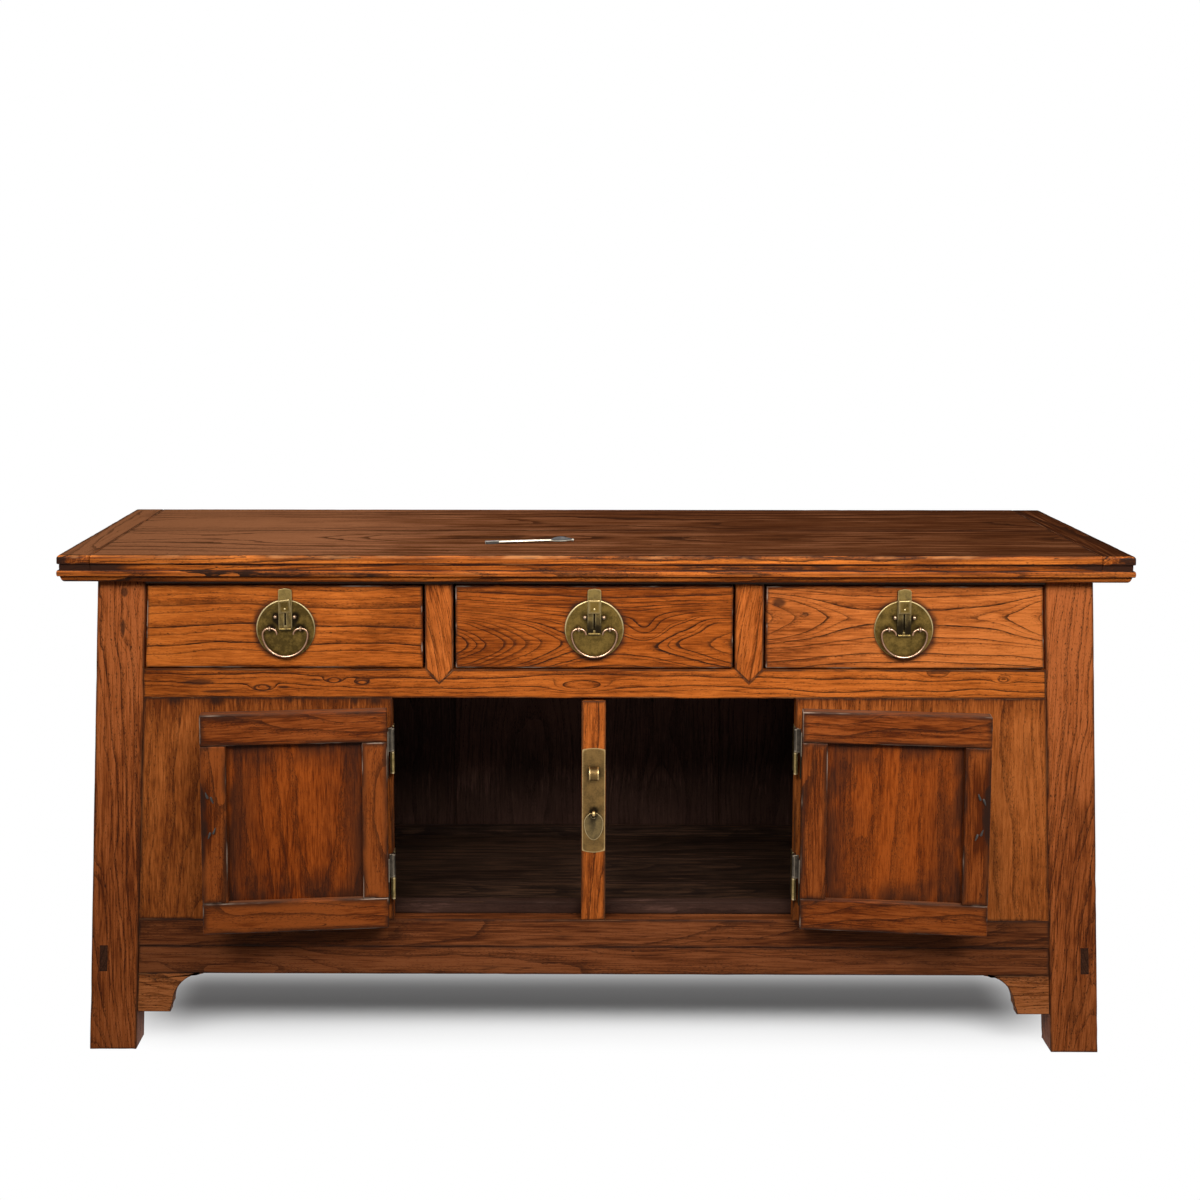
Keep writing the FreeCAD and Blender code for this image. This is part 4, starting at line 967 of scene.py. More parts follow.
# Painted light: the rail's tone rises from 0.25 at its left end to 0.85 at its right
addPrism(shape, dense(outline, 0.018), front, front + railLook["deep"], "xzy", pith=railLook["pith"],
         tilt=railLook["tilt"], tone=alongX(-0.70, 0.70, 0.25, 0.85), wear=(0.0003, 0.0006), seed=0.0)
dressNode("front_mid_rail", shape, midRailWood, "case")

shape = newShape()
for side in (-1, 1):
    outline = [(near, midHigh), ((near + far) / 2, tip), (far, midHigh), (far, case["topRailLow"]),
               (near, case["topRailLow"])]
    addPrism(shape, dense(outline, 0.018), front, front + railLook["dividerThick"], "zxy",
             pith=(0.06, 0.03), tilt=(0.16, 0.05), tone=0.55, side=side)
dressNode("drawer_dividers", shape, railWood, "case")

shape = newShape()
addBoard(shape, betweenLegs, (front, legBack), (case["bottomLow"], case["sill"]), "xzy",
         radius=0.0012, pith=(0.015, 0.06), tilt=(0.004, 0.03), tone=0.42)
dressNode("front_bottom_rail", shape, lowWood, "case")

apronFront = front + railLook["apronSetback"]
apronBack = apronFront + railLook["apronThick"]
shape = newShape()
addBoard(shape, betweenLegs, (apronFront, apronBack), (case["apronLow"], case["bottomLow"]), "xzy",
         radius=0.0016, pith=(-0.02, 0.05), tilt=(-0.004, 0.02), tone=0.75, wear=(0.0010, 0.0012))
dressNode("front_apron", shape, lowWood, "case")

bracketLook = {"biteX": 0.655, "bite": 0.052, "lobeX": 0.712}
for side, name in bothSides:
    biteX, bite = bracketLook["biteX"], bracketLook["bite"]
    low, high = case["bracketLow"], case["apronLow"]
    outline = [(legInner(high), high), (biteX, high)]
    for i in range(1, 13):
        turn = math.pi / 2 * i / 12
        outline.append((biteX + bite * math.sin(turn), high - bite + bite * math.cos(turn)))
    lobe = bracketLook["lobeX"]
    outline += [(lobe - 0.0025, high - bite - 0.004), (lobe - 0.0006, high - bite - 0.010), (lobe, low),
                (legInner(low), low)]
    shape = newShape()
    # Tone 0.9 paints the brackets paler, as painted light
    addPrism(shape, dense(outline, 0.012), apronFront, apronBack, "xzy", radius=0.0014, pith=(0.06, 0.09),
             tilt=(0.0, 0.03), tone=0.9, side=side, insets=(0.0015,))
    dressNode("apron_bracket_" + name, shape, bracketWood, "case")

# Fixed panels beside the door opening, darker under the mid rail: dirt and painted shade
panelLook = {"thick": 0.020, "dirtFrom": 0.565, "dirt": 0.75}


def dirtyAbove(base):
    def tone(points):
        share = np.clip((points[:, 2] - panelLook["dirtFrom"]) / (midLow - panelLook["dirtFrom"]), 0, 1)
        return base - panelLook["dirt"] * share
    return tone


for side, name, tone in ((-1, "left", dirtyAbove(0.42)), (1, "right", dirtyAbove(0.72))):
    shape = newShape()
    addBoard(shape, (case["openHalf"], legInner), (front, front + panelLook["thick"]),
             (case["sill"], midLow), "zxy", radius=0.0007, pith=(0.10, 0.08), tilt=(0.02, 0.05), tone=tone,
             side=side)
    dressNode("front_panel_" + name, shape, panelWood, "case")
print("front frame made")

# Sides, back, floor and the hidden framing
sideLook = {"railInset": 0.006, "railThick": 0.030, "panelInset": 0.015, "panelThick": 0.012,
            "lowLow": 0.134, "lowHigh": 0.184, "groove": 0.004}


def leaning(inset, thick):
    return (lambda z: legOuter(z) - inset - thick, lambda z: legOuter(z) - inset)


rails = newShape()
panels = newShape()
groove = sideLook["groove"]
for side in (-1, 1):
    for low, high in ((sideLook["lowLow"], sideLook["lowHigh"]), (midLow, midHigh)):
        addBoard(rails, leaning(sideLook["railInset"], sideLook["railThick"]), (legBack, rearLegFront),
                 (low, high), "yzx", tone=0.5, side=side)
    for low, high, axes in ((sideLook["lowHigh"], midLow, "zyx"), (midHigh, case["topRailLow"], "yzx")):
        addBoard(panels, leaning(sideLook["panelInset"], sideLook["panelThick"]),
                 (legBack - groove, rearLegFront + groove), (low - groove, high + groove), axes, tone=0.5,
                 pith=(0.05, 0.09), side=side)
dressNode("side_rails", rails, frameWood, "case")
dressNode("side_panels", panels, panelWood, "case")


def paleAbove(shift):
    # Inside, the boards of the back are painted paler upwards, under the drawers,
    # as painted light where little light reaches
    def tone(points):
        share = np.clip((points[:, 2] - backLook["lowHigh"]) / (midLow - backLook["lowHigh"]), 0, 1)
        inside = points[:, 1] < backLook["boardFront"] + backLook["boardThick"] / 2
        return shift + np.where(inside, backLook["lowTone"] + backLook["rise"] * share, backLook["outside"])
    return tone


backLook = {"railBack": 0.237, "boardFront": 0.204, "boardThick": 0.012, "lowHigh": 0.246,
            "shifts": (0.1, -0.05, 0.08, 0.0, 0.1, 0.05), "lowTone": 0.05, "rise": 1.4, "outside": 0.45}
shape = newShape()
for low, high in ((case["bottomLow"], backLook["lowHigh"]), (midLow, midHigh)):
    addBoard(shape, betweenLegs, (rearLegFront, backLook["railBack"]), (low, high), "xzy", tone=0.35)
dressNode("back_rails", shape, floorWood, "case")
shape = newShape()
y = (backLook["boardFront"], backLook["boardFront"] + backLook["boardThick"])
backHalf = legInner(0.24) + 0.002
boards = len(backLook["shifts"])
for i, shift in enumerate(backLook["shifts"]):
    x0 = betweenLegs[0] if i == 0 else -backHalf + 2 * backHalf * i / boards
    x1 = betweenLegs[1] if i == boards - 1 else -backHalf + 2 * backHalf * (i + 1) / boards
    addBoard(shape, (x0, x1), y, (backLook["lowHigh"] - groove, midLow + groove), "zxy", step=0.06,
             tone=paleAbove(shift))
addBoard(shape, betweenLegs, y, (midHigh - groove, case["topRailLow"] + groove), "xzy", step=0.06,
         tone=0.4)
dressNode("back_boards", shape, innerWood, "case")

floorLook = {"top": 0.227, "thick": 0.018, "half": 0.8086, "tones": (0.55, 0.40, 0.45), "stopFront": -0.178,
             "stopThick": 0.018, "stopHigh": 0.021, "stopHalf": 0.383}
shape = newShape()
stepY = (rearLegFront - legBack) / len(floorLook["tones"])
for i, tone in enumerate(floorLook["tones"]):
    y0 = legBack + i * stepY
    addBoard(shape, (-floorLook["half"], floorLook["half"]), (y0, y0 + stepY),
             (floorLook["top"] - floorLook["thick"], floorLook["top"]), "xyz", tone=tone, step=0.05)
dressNode("floor_boards", shape, floorWood, "case")
shape = newShape()
stopY = (floorLook["stopFront"], floorLook["stopFront"] + floorLook["stopThick"])
addBoard(shape, (-floorLook["stopHalf"], floorLook["stopHalf"]), stopY,
         (case["sill"], case["sill"] + floorLook["stopHigh"]), "xzy", radius=0.0015, tone=0.25)
dressNode("door_stop", shape, innerWood, "case")


def hiddenMaterial():
    # Plain old softwood for the framing that is seen only from below or behind
    material = newMaterial("framingSoftwood")
    desk = Desk(material)
    place = desk.put("ShaderNodeTexCoord").outputs["Object"]
    streak = desk.streaks(place, 9.0, 60.0, detail=5.0, rough=0.6)
    fibre = desk.streaks(place, 30.0, 420.0, detail=2.0)
    share = desk.sway(fibre, 0.5, desk.fit(streak, 0.3, 0.7), clamp=True)
    colour = desk.blend(share, (0.030, 0.014, 0.008), (0.085, 0.040, 0.020))
    desk.finish(colour, desk.fit(streak, 0.2, 0.8, 0.70, 0.55), fibre, 0.3, 0.0005,
                {"Specular IOR Level": 0.25})
    return material


framing = hiddenMaterial()
for node in ("top_frame_rails", "top_battens", "floor_bearers", "drawer_runners"):
    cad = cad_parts[node]
    cad.data.materials.clear()
    cad.data.materials.append(framing)
    eased = cad.modifiers.new("easedArrises", "BEVEL")
    eased.width = 0.0008
    eased.segments = 2
    eased.limit_method = "ANGLE"
    eased.angle_limit = math.radians(50)
print("sides, back and floor made")

# Drawers: fronts with their own figure, and plain boxes behind
drawerLook = {"low": 0.658, "high": 0.796, "thick": 0.020, "radius": 0.0022, "wear": (0.0007, 0.0014),
              "play": 0.004, "gap": 0.0025, "sideThick": 0.013, "sideHigh": 0.788, "boxBack": 0.172,
              "bottomLow": 0.666, "bottomThick": 0.009}
low, high = drawerLook["low"], drawerLook["high"]
for name, drawer in drawers.items():
    if name == "centre":
        x = (-railLook["dividerNear"] + drawerLook["play"], railLook["dividerNear"] - drawerLook["play"])
        boxX = (x[0] + drawerLook["play"], x[1] - drawerLook["play"])
    else:
        x = (railLook["dividerFar"] + drawerLook["play"], lambda z: legInner(z) - drawerLook["gap"])
        boxX = (x[0] + drawerLook["play"], legInner(high) - 2 * drawerLook["play"])
    body = "drawer_" + name
    middleX = case["pullAt"][name]
    shape = newShape()
    # The front's tone runs from end to end as painted light, paler at the outer ends
    addBoard(shape, x, (front, front + drawerLook["thick"]), (low, high), "xzy",
             radius=drawerLook["radius"], step=0.012, pith=drawer["pith"], tilt=drawer["tilt"],
             wear=drawerLook["wear"], side=drawer["side"], seed=0.0,
             tone=alongX(middleX - 0.22, middleX + 0.22, *drawer["tone"]))
    dressNode(body + "_front", shape, drawer["finish"], body)
    shape = newShape()
    thick = drawerLook["sideThick"]
    y = (front + drawerLook["thick"], drawerLook["boxBack"])
    boxBoard = {"step": 0.06, "side": drawer["side"]}
    bottomZ = (drawerLook["bottomLow"], drawerLook["bottomLow"] + drawerLook["bottomThick"])
    for x0 in (boxX[0], boxX[1] - thick):
        addBoard(shape, (x0, x0 + thick), y, (low, drawerLook["sideHigh"]), "yzx", tone=0.5, **boxBoard)
    inner = (boxX[0] + thick, boxX[1] - thick)
    backZ = (bottomZ[1], drawerLook["sideHigh"])
    addBoard(shape, inner, (y[1] - thick, y[1]), backZ, "xzy", tone=0.45, **boxBoard)
    addBoard(shape, inner, y, bottomZ, "xyz", tone=0.55, **boxBoard)
    dressNode(body + "_box", shape, boxWood, body)
print("drawers made")

# Doors, standing open: built closed and then swung round their hinges
doorLook = {"low": 0.231, "high": 0.597, "thick": 0.024, "free": 0.0225, "hingeEdge": 0.3245, "rail": 0.052,
            "stile": 0.042, "panelIn": 0.004, "panelThick": 0.009, "stain": -0.38, "stainWide": 0.036,
            "stainHigh": 0.435, "stainTall": 0.05, "stainFlat": 1.7, "stainGain": 1.4,
            "axisX": 0.3325, "axisY": -0.211, "open": 174.5,
            "tones": {"left": (1.30, 0.36, 1.40, 0.40), "right": (0.75, 0.53, 0.64, 0.74)}}


def swung(side):
    c, s = turned(doorLook["open"] * side)
    ax, ay = doorLook["axisX"] * side, doorLook["axisY"]

    def place(points):
        points = np.array(points, dtype=float)
        dx, dy = points[:, 0] - ax, points[:, 1] - ay
        return np.column_stack([ax + c * dx - s * dy, ay + s * dx + c * dy, points[:, 2]])
    return place


def stainedStile(base):
    # Black round the clenched pins, near the free edge
    def tone(points):
        reach = doorLook["axisX"] - doorLook["free"]
        freeEdge = doorLook["axisX"] + reach * turned(180 - doorLook["open"])[0]
        near = np.clip(1 - (freeEdge - np.abs(points[:, 0])) / doorLook["stainWide"], 0, 1)
        high = np.abs(points[:, 2] - doorLook["stainHigh"]) / doorLook["stainTall"]
        share = np.clip(doorLook["stainGain"] * near * np.clip(doorLook["stainFlat"] - high, 0, 1), 0, 1)
        return base + (doorLook["stain"] - base) * share
    return tone


for side, name in bothSides:
    place = swung(side)
    body = "door_" + name
    low, high, free, hinge = doorLook["low"], doorLook["high"], doorLook["free"], doorLook["hingeEdge"]
    rail, stile = doorLook["rail"], doorLook["stile"]
    y = (front, front + doorLook["thick"])
    shape = newShape()
    # Each board's tone is painted light and shade, set by how light falls on the door
    lowTone, highTone, stileTone, panelTone = doorLook["tones"][name]
    for z, tone in (((low, low + rail), lowTone), ((high - rail, high), highTone)):
        addBoard(shape, (free, hinge), y, z, "xzy", radius=0.0022, step=0.012, pith=(0.03, -0.05),
                 tilt=(0.02, 0.05), tone=tone, wear=(0.0012, 0.0016), side=side, place=place)
    for x in ((free, free + stile), (hinge - stile, hinge)):
        addBoard(shape, x, y, (low + rail, high - rail), "zxy", radius=0.0016, step=0.014,
                 pith=(0.02, -0.06), tilt=(0.01, 0.03), tone=stainedStile(stileTone), wear=(0.0010, 0.0012),
                 side=side, place=place)
    dressNode(body + "_frame", shape, doorWood, body)
    shape = newShape()
    panelY = (front + doorLook["panelIn"], front + doorLook["panelIn"] + doorLook["panelThick"])
    addBoard(shape, (free + stile - 0.001, hinge - stile + 0.001), panelY,
             (low + rail - 0.001, high - rail + 0.001), "zxy", pith=(0.05, -0.12), tilt=(0.0, 0.05),
             tone=panelTone, side=side, place=place)
    dressNode(body + "_panel", shape, doorPanelWood, body)

stileLook = {"half": 0.020, "low": 0.2292, "high": 0.603}
shape = newShape()
addBoard(shape, (-stileLook["half"], stileLook["half"]), (front, front + doorLook["thick"]),
         (stileLook["low"], stileLook["high"]), "zxy", radius=0.0016,
         pith=(0.03, 0.04), tilt=(0.0, 0.03), tone=0.6)
dressNode("centre_stile", shape, railWood, "centre_stile")
print("doors made")

# Ends of the lower side rails' through tenons, in the faces of the front legs
tenonLook = {"near": 0.028, "far": 0.014, "low": 0.137, "high": 0.183, "proud": 0.0004, "deep": 0.004}
shape = newShape()
tenonY = (front - tenonLook["proud"], front + tenonLook["deep"])
for side in (-1, 1):
    addBoard(shape, leaning(tenonLook["far"], tenonLook["near"] - tenonLook["far"]), tenonY,
             (tenonLook["low"], tenonLook["high"]), "yzx", radius=0.0006, tone=0.25, side=side)
makePiece("legTenonEnds", shape, tenonWood, "case")


def arc(cx, cz, radius, start, end, count):
    turns = [math.radians(start + (end - start) * i / count) for i in range(count + 1)]
    return [(cx + radius * math.cos(t), cz + radius * math.sin(t)) for t in turns]


def addEye(shape, x, y, z, plateY, ring, half, shank, place=None):
    # A bead with its hole along x, on a shank let into the plate
    profile = [(ring * 0.55, -half), (ring * 0.82, -half * 0.86), (ring, -half * 0.35), (ring, half * 0.35),
               (ring * 0.82, half * 0.86), (ring * 0.55, half)]
    # The bead's middle band is bright: rubbed, and partly a painted highlight
    profile = [(r, along, 0.0002 if abs(along) < half * 0.5 else 0.0016) for r, along in profile]
    addLathe(shape, profile, (x, y, z), (1, 0, 0), segments=24, place=place)
    addTube(shape, [(x, y + ring * 0.7, z), (x, plateY, z)], shank, place=place)


# Drawer pulls: disc, slide bolt under a riveted cover, eyes for a lock pin, and the bail hung in two eyes
pullLook = {
    "discTone": {"left": 0.32, "centre": 0.56, "right": 0.50}, "height": 0.724, "disc": 0.0485,
    "discThick": 0.0018, "gap": 0.0004, "boltThick": 0.0022, "boltHalf": 0.0112, "boltTop": 0.068,
    "boltCorner": 0.004, "boltArch": 0.0016, "slotHalf": 0.0014, "slotStart": 0.0060, "slotTop": 0.038,
    "rollRadius": 0.0026, "rollHalf": 0.0102, "rollDrop": {"left": 0.0, "centre": 0.0075, "right": 0.0095},
    "coverLow": 0.0270, "coverHigh": 0.049, "coverHalf": 0.0098, "coverThick": 0.0026, "coverBevel": 0.0009,
    "coverTurn": {"left": 7.0, "centre": 0.0, "right": 1.5}, "rivetHigh": 0.034, "rivet": 0.0017,
    "wire": 0.0019, "bail": 0.037, "bend": 0.0098, "bendFlat": 0.0038, "bailDrop": 0.0085,
    "bailOut": 0.0055, "bailEye": 0.0044, "bailEyeHalf": 0.0025,
    "rimGlow": {"left": (1.0, 0.6), "centre": (1.0, 0.9), "right": (0.4, 1.0)}, "lockEyeAt": 0.0158,
    "lockEyeHigh": 0.0205, "lockEyeOut": 0.0042, "lockEye": 0.0034, "lockEyeHalf": 0.0030, "stain": 0.011,
    "dull": 0.0013, "boltTone": {"left": 0.18, "centre": 0.0, "right": -0.08}, "headTone": 0.85,
    "coverTone": {"left": 0.38, "centre": 0.80, "right": 0.52}, "stainDepth": 0.48, "footStain": 0.004,
    "shadeFrom": 0.010, "shadeWide": 0.014, "shadeAt": 0.010, "shadeHigh": 0.018, "shadeDepth": 0.45,
    "slotShade": 0.009, "slotShadeLow": 0.002, "glowAt": (145, 35), "worn": Vector((0, -0.8, 0.6)),
    "bailShank": 0.0018, "lockShank": 0.0014, "shankDeep": 0.0004,
}
pullZ = pullLook["height"]
discFace = front - pullLook["discThick"]
bailZ = pullZ - pullLook["bailDrop"]
bailEyeAt = pullLook["bail"] - pullLook["bend"] - pullLook["bendFlat"] / 2
bailEyeZ = bailZ + pullLook["bend"]
lockEyeZ = pullZ + pullLook["lockEyeHigh"]


def pullPlate(x, turn, rimGlow, base, coverTone):
    # The disc with its raised rim, with a painted highlight at its upper left and right,
    # black round the fixings, painted shade beside and behind the bolt, and the cover on its rivet
    fixings = [(x + s * bailEyeAt, bailEyeZ) for s in (-1, 1)]
    fixings += [(x + s * pullLook["lockEyeAt"], lockEyeZ) for s in (-1, 1)]
    fixings.append((x, pullZ + pullLook["footStain"]))

    def stained(points):
        across, up = points[:, 0], points[:, 2]
        nearest = np.min([np.hypot(across - a, up - b) for a, b in fixings], axis=0)
        tone = base - pullLook["stainDepth"] * np.maximum(0.0, 1 - nearest / pullLook["stain"])
        beside = np.abs(across - x)
        level = np.clip(1 - np.abs(up - pullZ - pullLook["shadeAt"]) / pullLook["shadeHigh"], 0, 1)
        shade = np.clip(1 - (beside - pullLook["shadeFrom"]) / pullLook["shadeWide"], 0, 1) * level
        atSlot = (up > pullZ + pullLook["slotShadeLow"]) & (up < pullZ + pullLook["coverHigh"])
        behind = (beside < pullLook["slotShade"]) & atSlot
        return np.where(behind, 0.0, tone - pullLook["shadeDepth"] * shade)

    # The rim's painted highlight stays at its upper left and right; dull takes it off elsewhere
    def dull(point):
        turn = math.atan2(point[2] - pullZ, point[0] - x)
        glow = 0.0
        for share, at in zip(rimGlow, pullLook["glowAt"]):
            glow += share * max(0.0, math.cos(turn - math.radians(at))) ** 3
        return pullLook["dull"] * (1 - min(1.0, glow))

    r = pullLook["disc"]
    shape = newShape()
    profile = [(r, 0.0, 0.002), (r, 0.0009, 0.0004), (r - 0.0005, 0.0014, 0.0), (r - 0.0011, 0.0018, 0.0),
               (r - 0.0018, 0.00175, 0.0004), (r - 0.0026, 0.00145, 0.0014), (r - 0.0036, 0.0014, 0.003)]
    for share in (0.86, 0.78, 0.7, 0.62, 0.54, 0.46, 0.38, 0.3, 0.2, 0.1):
        profile.append((r * share, 0.0014 + 0.0004 * (0.92 - share), 0.01))
    profile.append((0.0004, pullLook["discThick"], 0.01))
    addLathe(shape, profile, (x, front, pullZ), (0, -1, 0), segments=96, tone=stained, dull=dull)
    back = discFace - 2 * pullLook["gap"] - pullLook["boltThick"]
    face = back - pullLook["coverThick"]
    half = pullLook["coverHalf"]
    pivot = pullZ + pullLook["rivetHigh"]
    c, s = turned(turn)
    low, high = (pullLook[key] - pullLook["rivetHigh"] for key in ("coverLow", "coverHigh"))
    corners = [(-half, low), (half, low), (half, high), (-half, high)]
    outline = dense([(x + c * a - s * b, pivot + s * a + c * b) for a, b in corners], 0.005)
    bevel = pullLook["coverBevel"]
    rings = [(bevel + 0.0036, face + 0.0003, 0.002), (bevel + 0.0030, face, 0.0014),
             (bevel + 0.0005, face, 0.0012), (bevel, face + 0.0001, 0.0009), (0.0, face + bevel, 0.0010),
             (0.0, back, 0.002)]
    addLayers(shape, outline, rings, "xzy", tone=coverTone)
    addLathe(shape, [(pullLook["rivet"], 0.0, 0.002), (pullLook["rivet"] * 0.8, 0.0004, 0.0),
                     (0.0003, 0.0006, 0.0)], (x, face + 0.0002, pivot), (0, -1, 0), segments=20, tone=0.4)
    return shape


def pullEyes(x):
    shankY = discFace + pullLook["shankDeep"]
    shape = newShape()
    for s in (-1, 1):
        addEye(shape, x + s * bailEyeAt, discFace - pullLook["bailOut"], bailEyeZ, shankY,
               pullLook["bailEye"], pullLook["bailEyeHalf"], pullLook["bailShank"])
        addEye(shape, x + s * pullLook["lockEyeAt"], discFace - pullLook["lockEyeOut"], lockEyeZ, shankY,
               pullLook["lockEye"], pullLook["lockEyeHalf"], pullLook["lockShank"])
    return shape


def slideBolt(x, drop, dark):
    # A strip with an arched head and a slot that ends in a rolled finger grip,
    # black below the cover: stain and a painted shadow of the cover
    back = discFace - pullLook["gap"]
    face = back - pullLook["boltThick"]
    half, slot, corner = pullLook["boltHalf"], pullLook["slotHalf"], pullLook["boltCorner"]
    foot = pullZ - drop
    slotTop = pullZ + pullLook["slotTop"]
    shoulder = pullZ + pullLook["boltTop"] - pullLook["boltArch"] - corner
    outline = [(x - half, foot), (x - slot, foot), (x - slot, slotTop), (x + slot, slotTop),
               (x + slot, foot), (x + half, foot)]
    outline += arc(x + half - corner, shoulder, corner, 0, 75, 6)
    outline.append((x, pullZ + pullLook["boltTop"]))
    outline += arc(x - half + corner, shoulder, corner, 105, 180, 6)
    shape = newShape()
    rise = (pullLook["headTone"] - dark) / pullLook["boltTop"]
    addPlate(shape, dense(outline, 0.004), face, back, 0.0005, insets=(0.0012, 0.0024), rim=0.0006,
             tone=lambda points: dark + rise * (points[:, 2] - pullZ))
    addBoard(shape, (x - slot - 0.0008, x + slot + 0.0008), (face + 0.0002, back - 0.0002),
             (foot, foot + pullLook["slotStart"]), "zxy", radius=0.0002, wear=(0.0, 0.0), tone=0.6)
    roll = pullLook["rollRadius"]
    long = pullLook["rollHalf"]
    end = [(roll * 0.7, long, 0.0012), (roll, long - 0.0006, 0.0010), (roll, long - 0.004, 0.003)]
    profile = [(r, -along, edge) for r, along, edge in end] + [(roll, 0.0, 0.003)] + end[::-1]
    # The roll's underside is painted black, as painted shade
    addLathe(shape, profile, (x, back - roll, foot), (1, 0, 0), segments=24,
             tone=lambda points: np.where(points[:, 2] < foot - roll * 0.3, 0.05, 0.42))
    return shape


def bailShape(x):
    # Round wire: a half circle whose ends turn over and down through the eyes, with a painted highlight
    # along its front
    y = discFace - pullLook["bailOut"]
    bend, big = pullLook["bend"], pullLook["bail"]
    inner = big - 2 * bend - pullLook["bendFlat"]

    def end(s):
        start = inner + bend
        flat = start + pullLook["bendFlat"]
        turns = [(start, t) for t in range(180, 89, -10)] + [(flat, t) for t in range(88, -1, -11)]
        path = [(centre + bend * turned(t)[0], bend * turned(t)[1]) for centre, t in turns]
        return [(s * a, b) for a, b in path]

    path = end(1) + arc(0.0, 0.0, big, -5, -175, 34) + end(-1)[::-1]
    shape = newShape()
    radii = [pullLook["wire"]] * len(path)
    radii[0] = radii[-1] = pullLook["wire"] * 0.75
    addTube(shape, [(x + a, y, bailZ + b) for a, b in path], radii, sides=18,
            edge=rubbedTowards(pullLook["worn"]))
    return shape


for name, x in case["pullAt"].items():
    body = "drawer_" + name
    ownLook = {key: pullLook[key][name] for key in ("coverTurn", "rimGlow", "discTone", "coverTone",
                                                    "rollDrop", "boltTone")}
    plate = pullPlate(x, ownLook["coverTurn"], ownLook["rimGlow"], ownLook["discTone"],
                      ownLook["coverTone"])
    dressNode(body + "_pull_plate", plate, plateBrass, body)
    makePiece("drawer" + name.capitalize() + "PullEyes", pullEyes(x), eyeBrass, body)
    bolt = slideBolt(x, ownLook["rollDrop"], ownLook["boltTone"])
    dressNode(body + "_bolt", bolt, boltBrass, "bolt_" + name)
    dressNode(body + "_bail", bailShape(x), wireBrass, "bail_" + name)
print("drawer pulls made")

# Lock fittings: crowned plate, staple, eye and drop-shaped pendant, on the centre stile and on both doors
lockLook = {
    "half": 0.019, "low": 0.349, "high": 0.521, "arch": 0.003, "edge": 0.0010, "crown": 0.0010,
    "bevel": 0.0022, "staple": 0.481, "stapleWide": 0.0084, "stapleHigh": 0.0115, "stapleOut": 0.013,
    "strap": 0.0022, "eye": 0.414, "eyeOut": 0.004, "eyeRing": 0.0046, "eyeHalf": 0.0032, "stain": 0.021,
    "pendantLong": 0.045, "pendantHalf": 0.016, "pendantThick": 0.0022, "neck": 0.0072, "slot": 0.0042,
    "slotDeep": 0.0072, "bar": 0.0013, "doorAt": 0.0385, "doorHalf": 0.016,
    "tone": 0.58, "stainDepth": 0.85, "eyeStainUp": 0.004, "eyeStainNear": 1.3, "bevelDeep": 0.0007,
    "stapleTone": 0.32, "shank": 0.0014, "shankDeep": 0.0004,
}
lockFace = front - lockLook["edge"] - lockLook["crown"]


def lockPlate(x, half, place=None):
    across = [-1.0, -0.97, -0.90, -0.82, -0.55, -0.28, 0.0, 0.28, 0.55, 0.82, 0.90, 0.97, 1.0]
    rows = 30
    points, edges, tones = [], [], []
    for j in range(rows + 1):
        for a in across:
            bow = lockLook["arch"] * (1 - a * a)
            low, high = lockLook["low"] - bow, lockLook["high"] + bow
            z = low + (high - low) * j / rows
            border = min(half * (1 - abs(a)), z - low, high - z)
            crown = lockLook["edge"] + lockLook["crown"] * (1 - a * a)
            y = front - crown + lockLook["bevelDeep"] * max(0.0, 1 - border / lockLook["bevel"]) ** 2
            points.append((x + a * half, y, z))
            edges.append(0.0002 + border * 0.6)
            eyeUp = z - lockLook["eye"] - lockLook["eyeStainUp"]
            toEye = math.hypot(a * half, eyeUp) * lockLook["eyeStainNear"]
            nearest = min(math.hypot(a * half, z - lockLook["staple"]), toEye)
            stain = max(0.0, 1 - nearest / lockLook["stain"])
            tones.append(lockLook["tone"] - lockLook["stainDepth"] * stain)
    n = len(across)
    faces = []
    for j in range(rows):
        for i in range(n - 1):
            faces.append([j * n + i, j * n + i + 1, (j + 1) * n + i + 1, (j + 1) * n + i])
    rim = list(range(n)) + [j * n + n - 1 for j in range(1, rows + 1)]
    rim += [rows * n + i for i in reversed(range(n - 1))] + [j * n for j in reversed(range(1, rows))]
    start = len(points)
    for i in rim:
        points.append((points[i][0], front, points[i][2]))
        edges.append(0.002)
        tones.append(0.4)
    for k in range(len(rim)):
        m = (k + 1) % len(rim)
        faces.append([rim[k], start + k, start + m, rim[m]])
    faces.append([start + k for k in reversed(range(len(rim)))])
    points = np.array(points)
    shape = newShape()
    gather(shape, place(points) if place else points, faces, points, edges, tones)
    return shape


def lockEyes(x, place=None):
    # The staple is a strap bent out into a loop, its two long rims raised
    out, high = lockLook["stapleOut"], lockLook["stapleHigh"]
    radius = (out * out + high * high) / (2 * out)
    centreY = lockFace - out + radius
    reach = math.degrees(math.asin(min(1.0, high / radius)))
    reach = 180 - reach if out > radius else reach
    wide, strap = lockLook["stapleWide"], lockLook["strap"]
    half = [(wide, -strap, 0.002), (wide, -0.0003, 0.0003), (wide * 0.94, 0.0003, 0.0),
            (wide * 0.80, 0.0003, 0.0002), (wide * 0.66, -0.0002, 0.0014)]
    section = [(-a, b, edge) for a, b, edge in half] + [(0.0, -0.0003, 0.003)] + half[::-1]
    frames = []
    for i in range(17):
        t = math.radians(-reach + 2 * reach * i / 16)
        outward = (0.0, -math.cos(t), math.sin(t))
        centre = (x, centreY - radius * math.cos(t), lockLook["staple"] + radius * math.sin(t))
        frames.append((centre, (1, 0, 0), outward, 1.0))
    shape = newShape()
    addSweep(shape, frames, section, tone=lockLook["stapleTone"], place=place)
    addEye(shape, x, lockFace - lockLook["eyeOut"], lockLook["eye"], lockFace + lockLook["shankDeep"],
           lockLook["eyeRing"], lockLook["eyeHalf"], lockLook["shank"], place=place)
    return shape


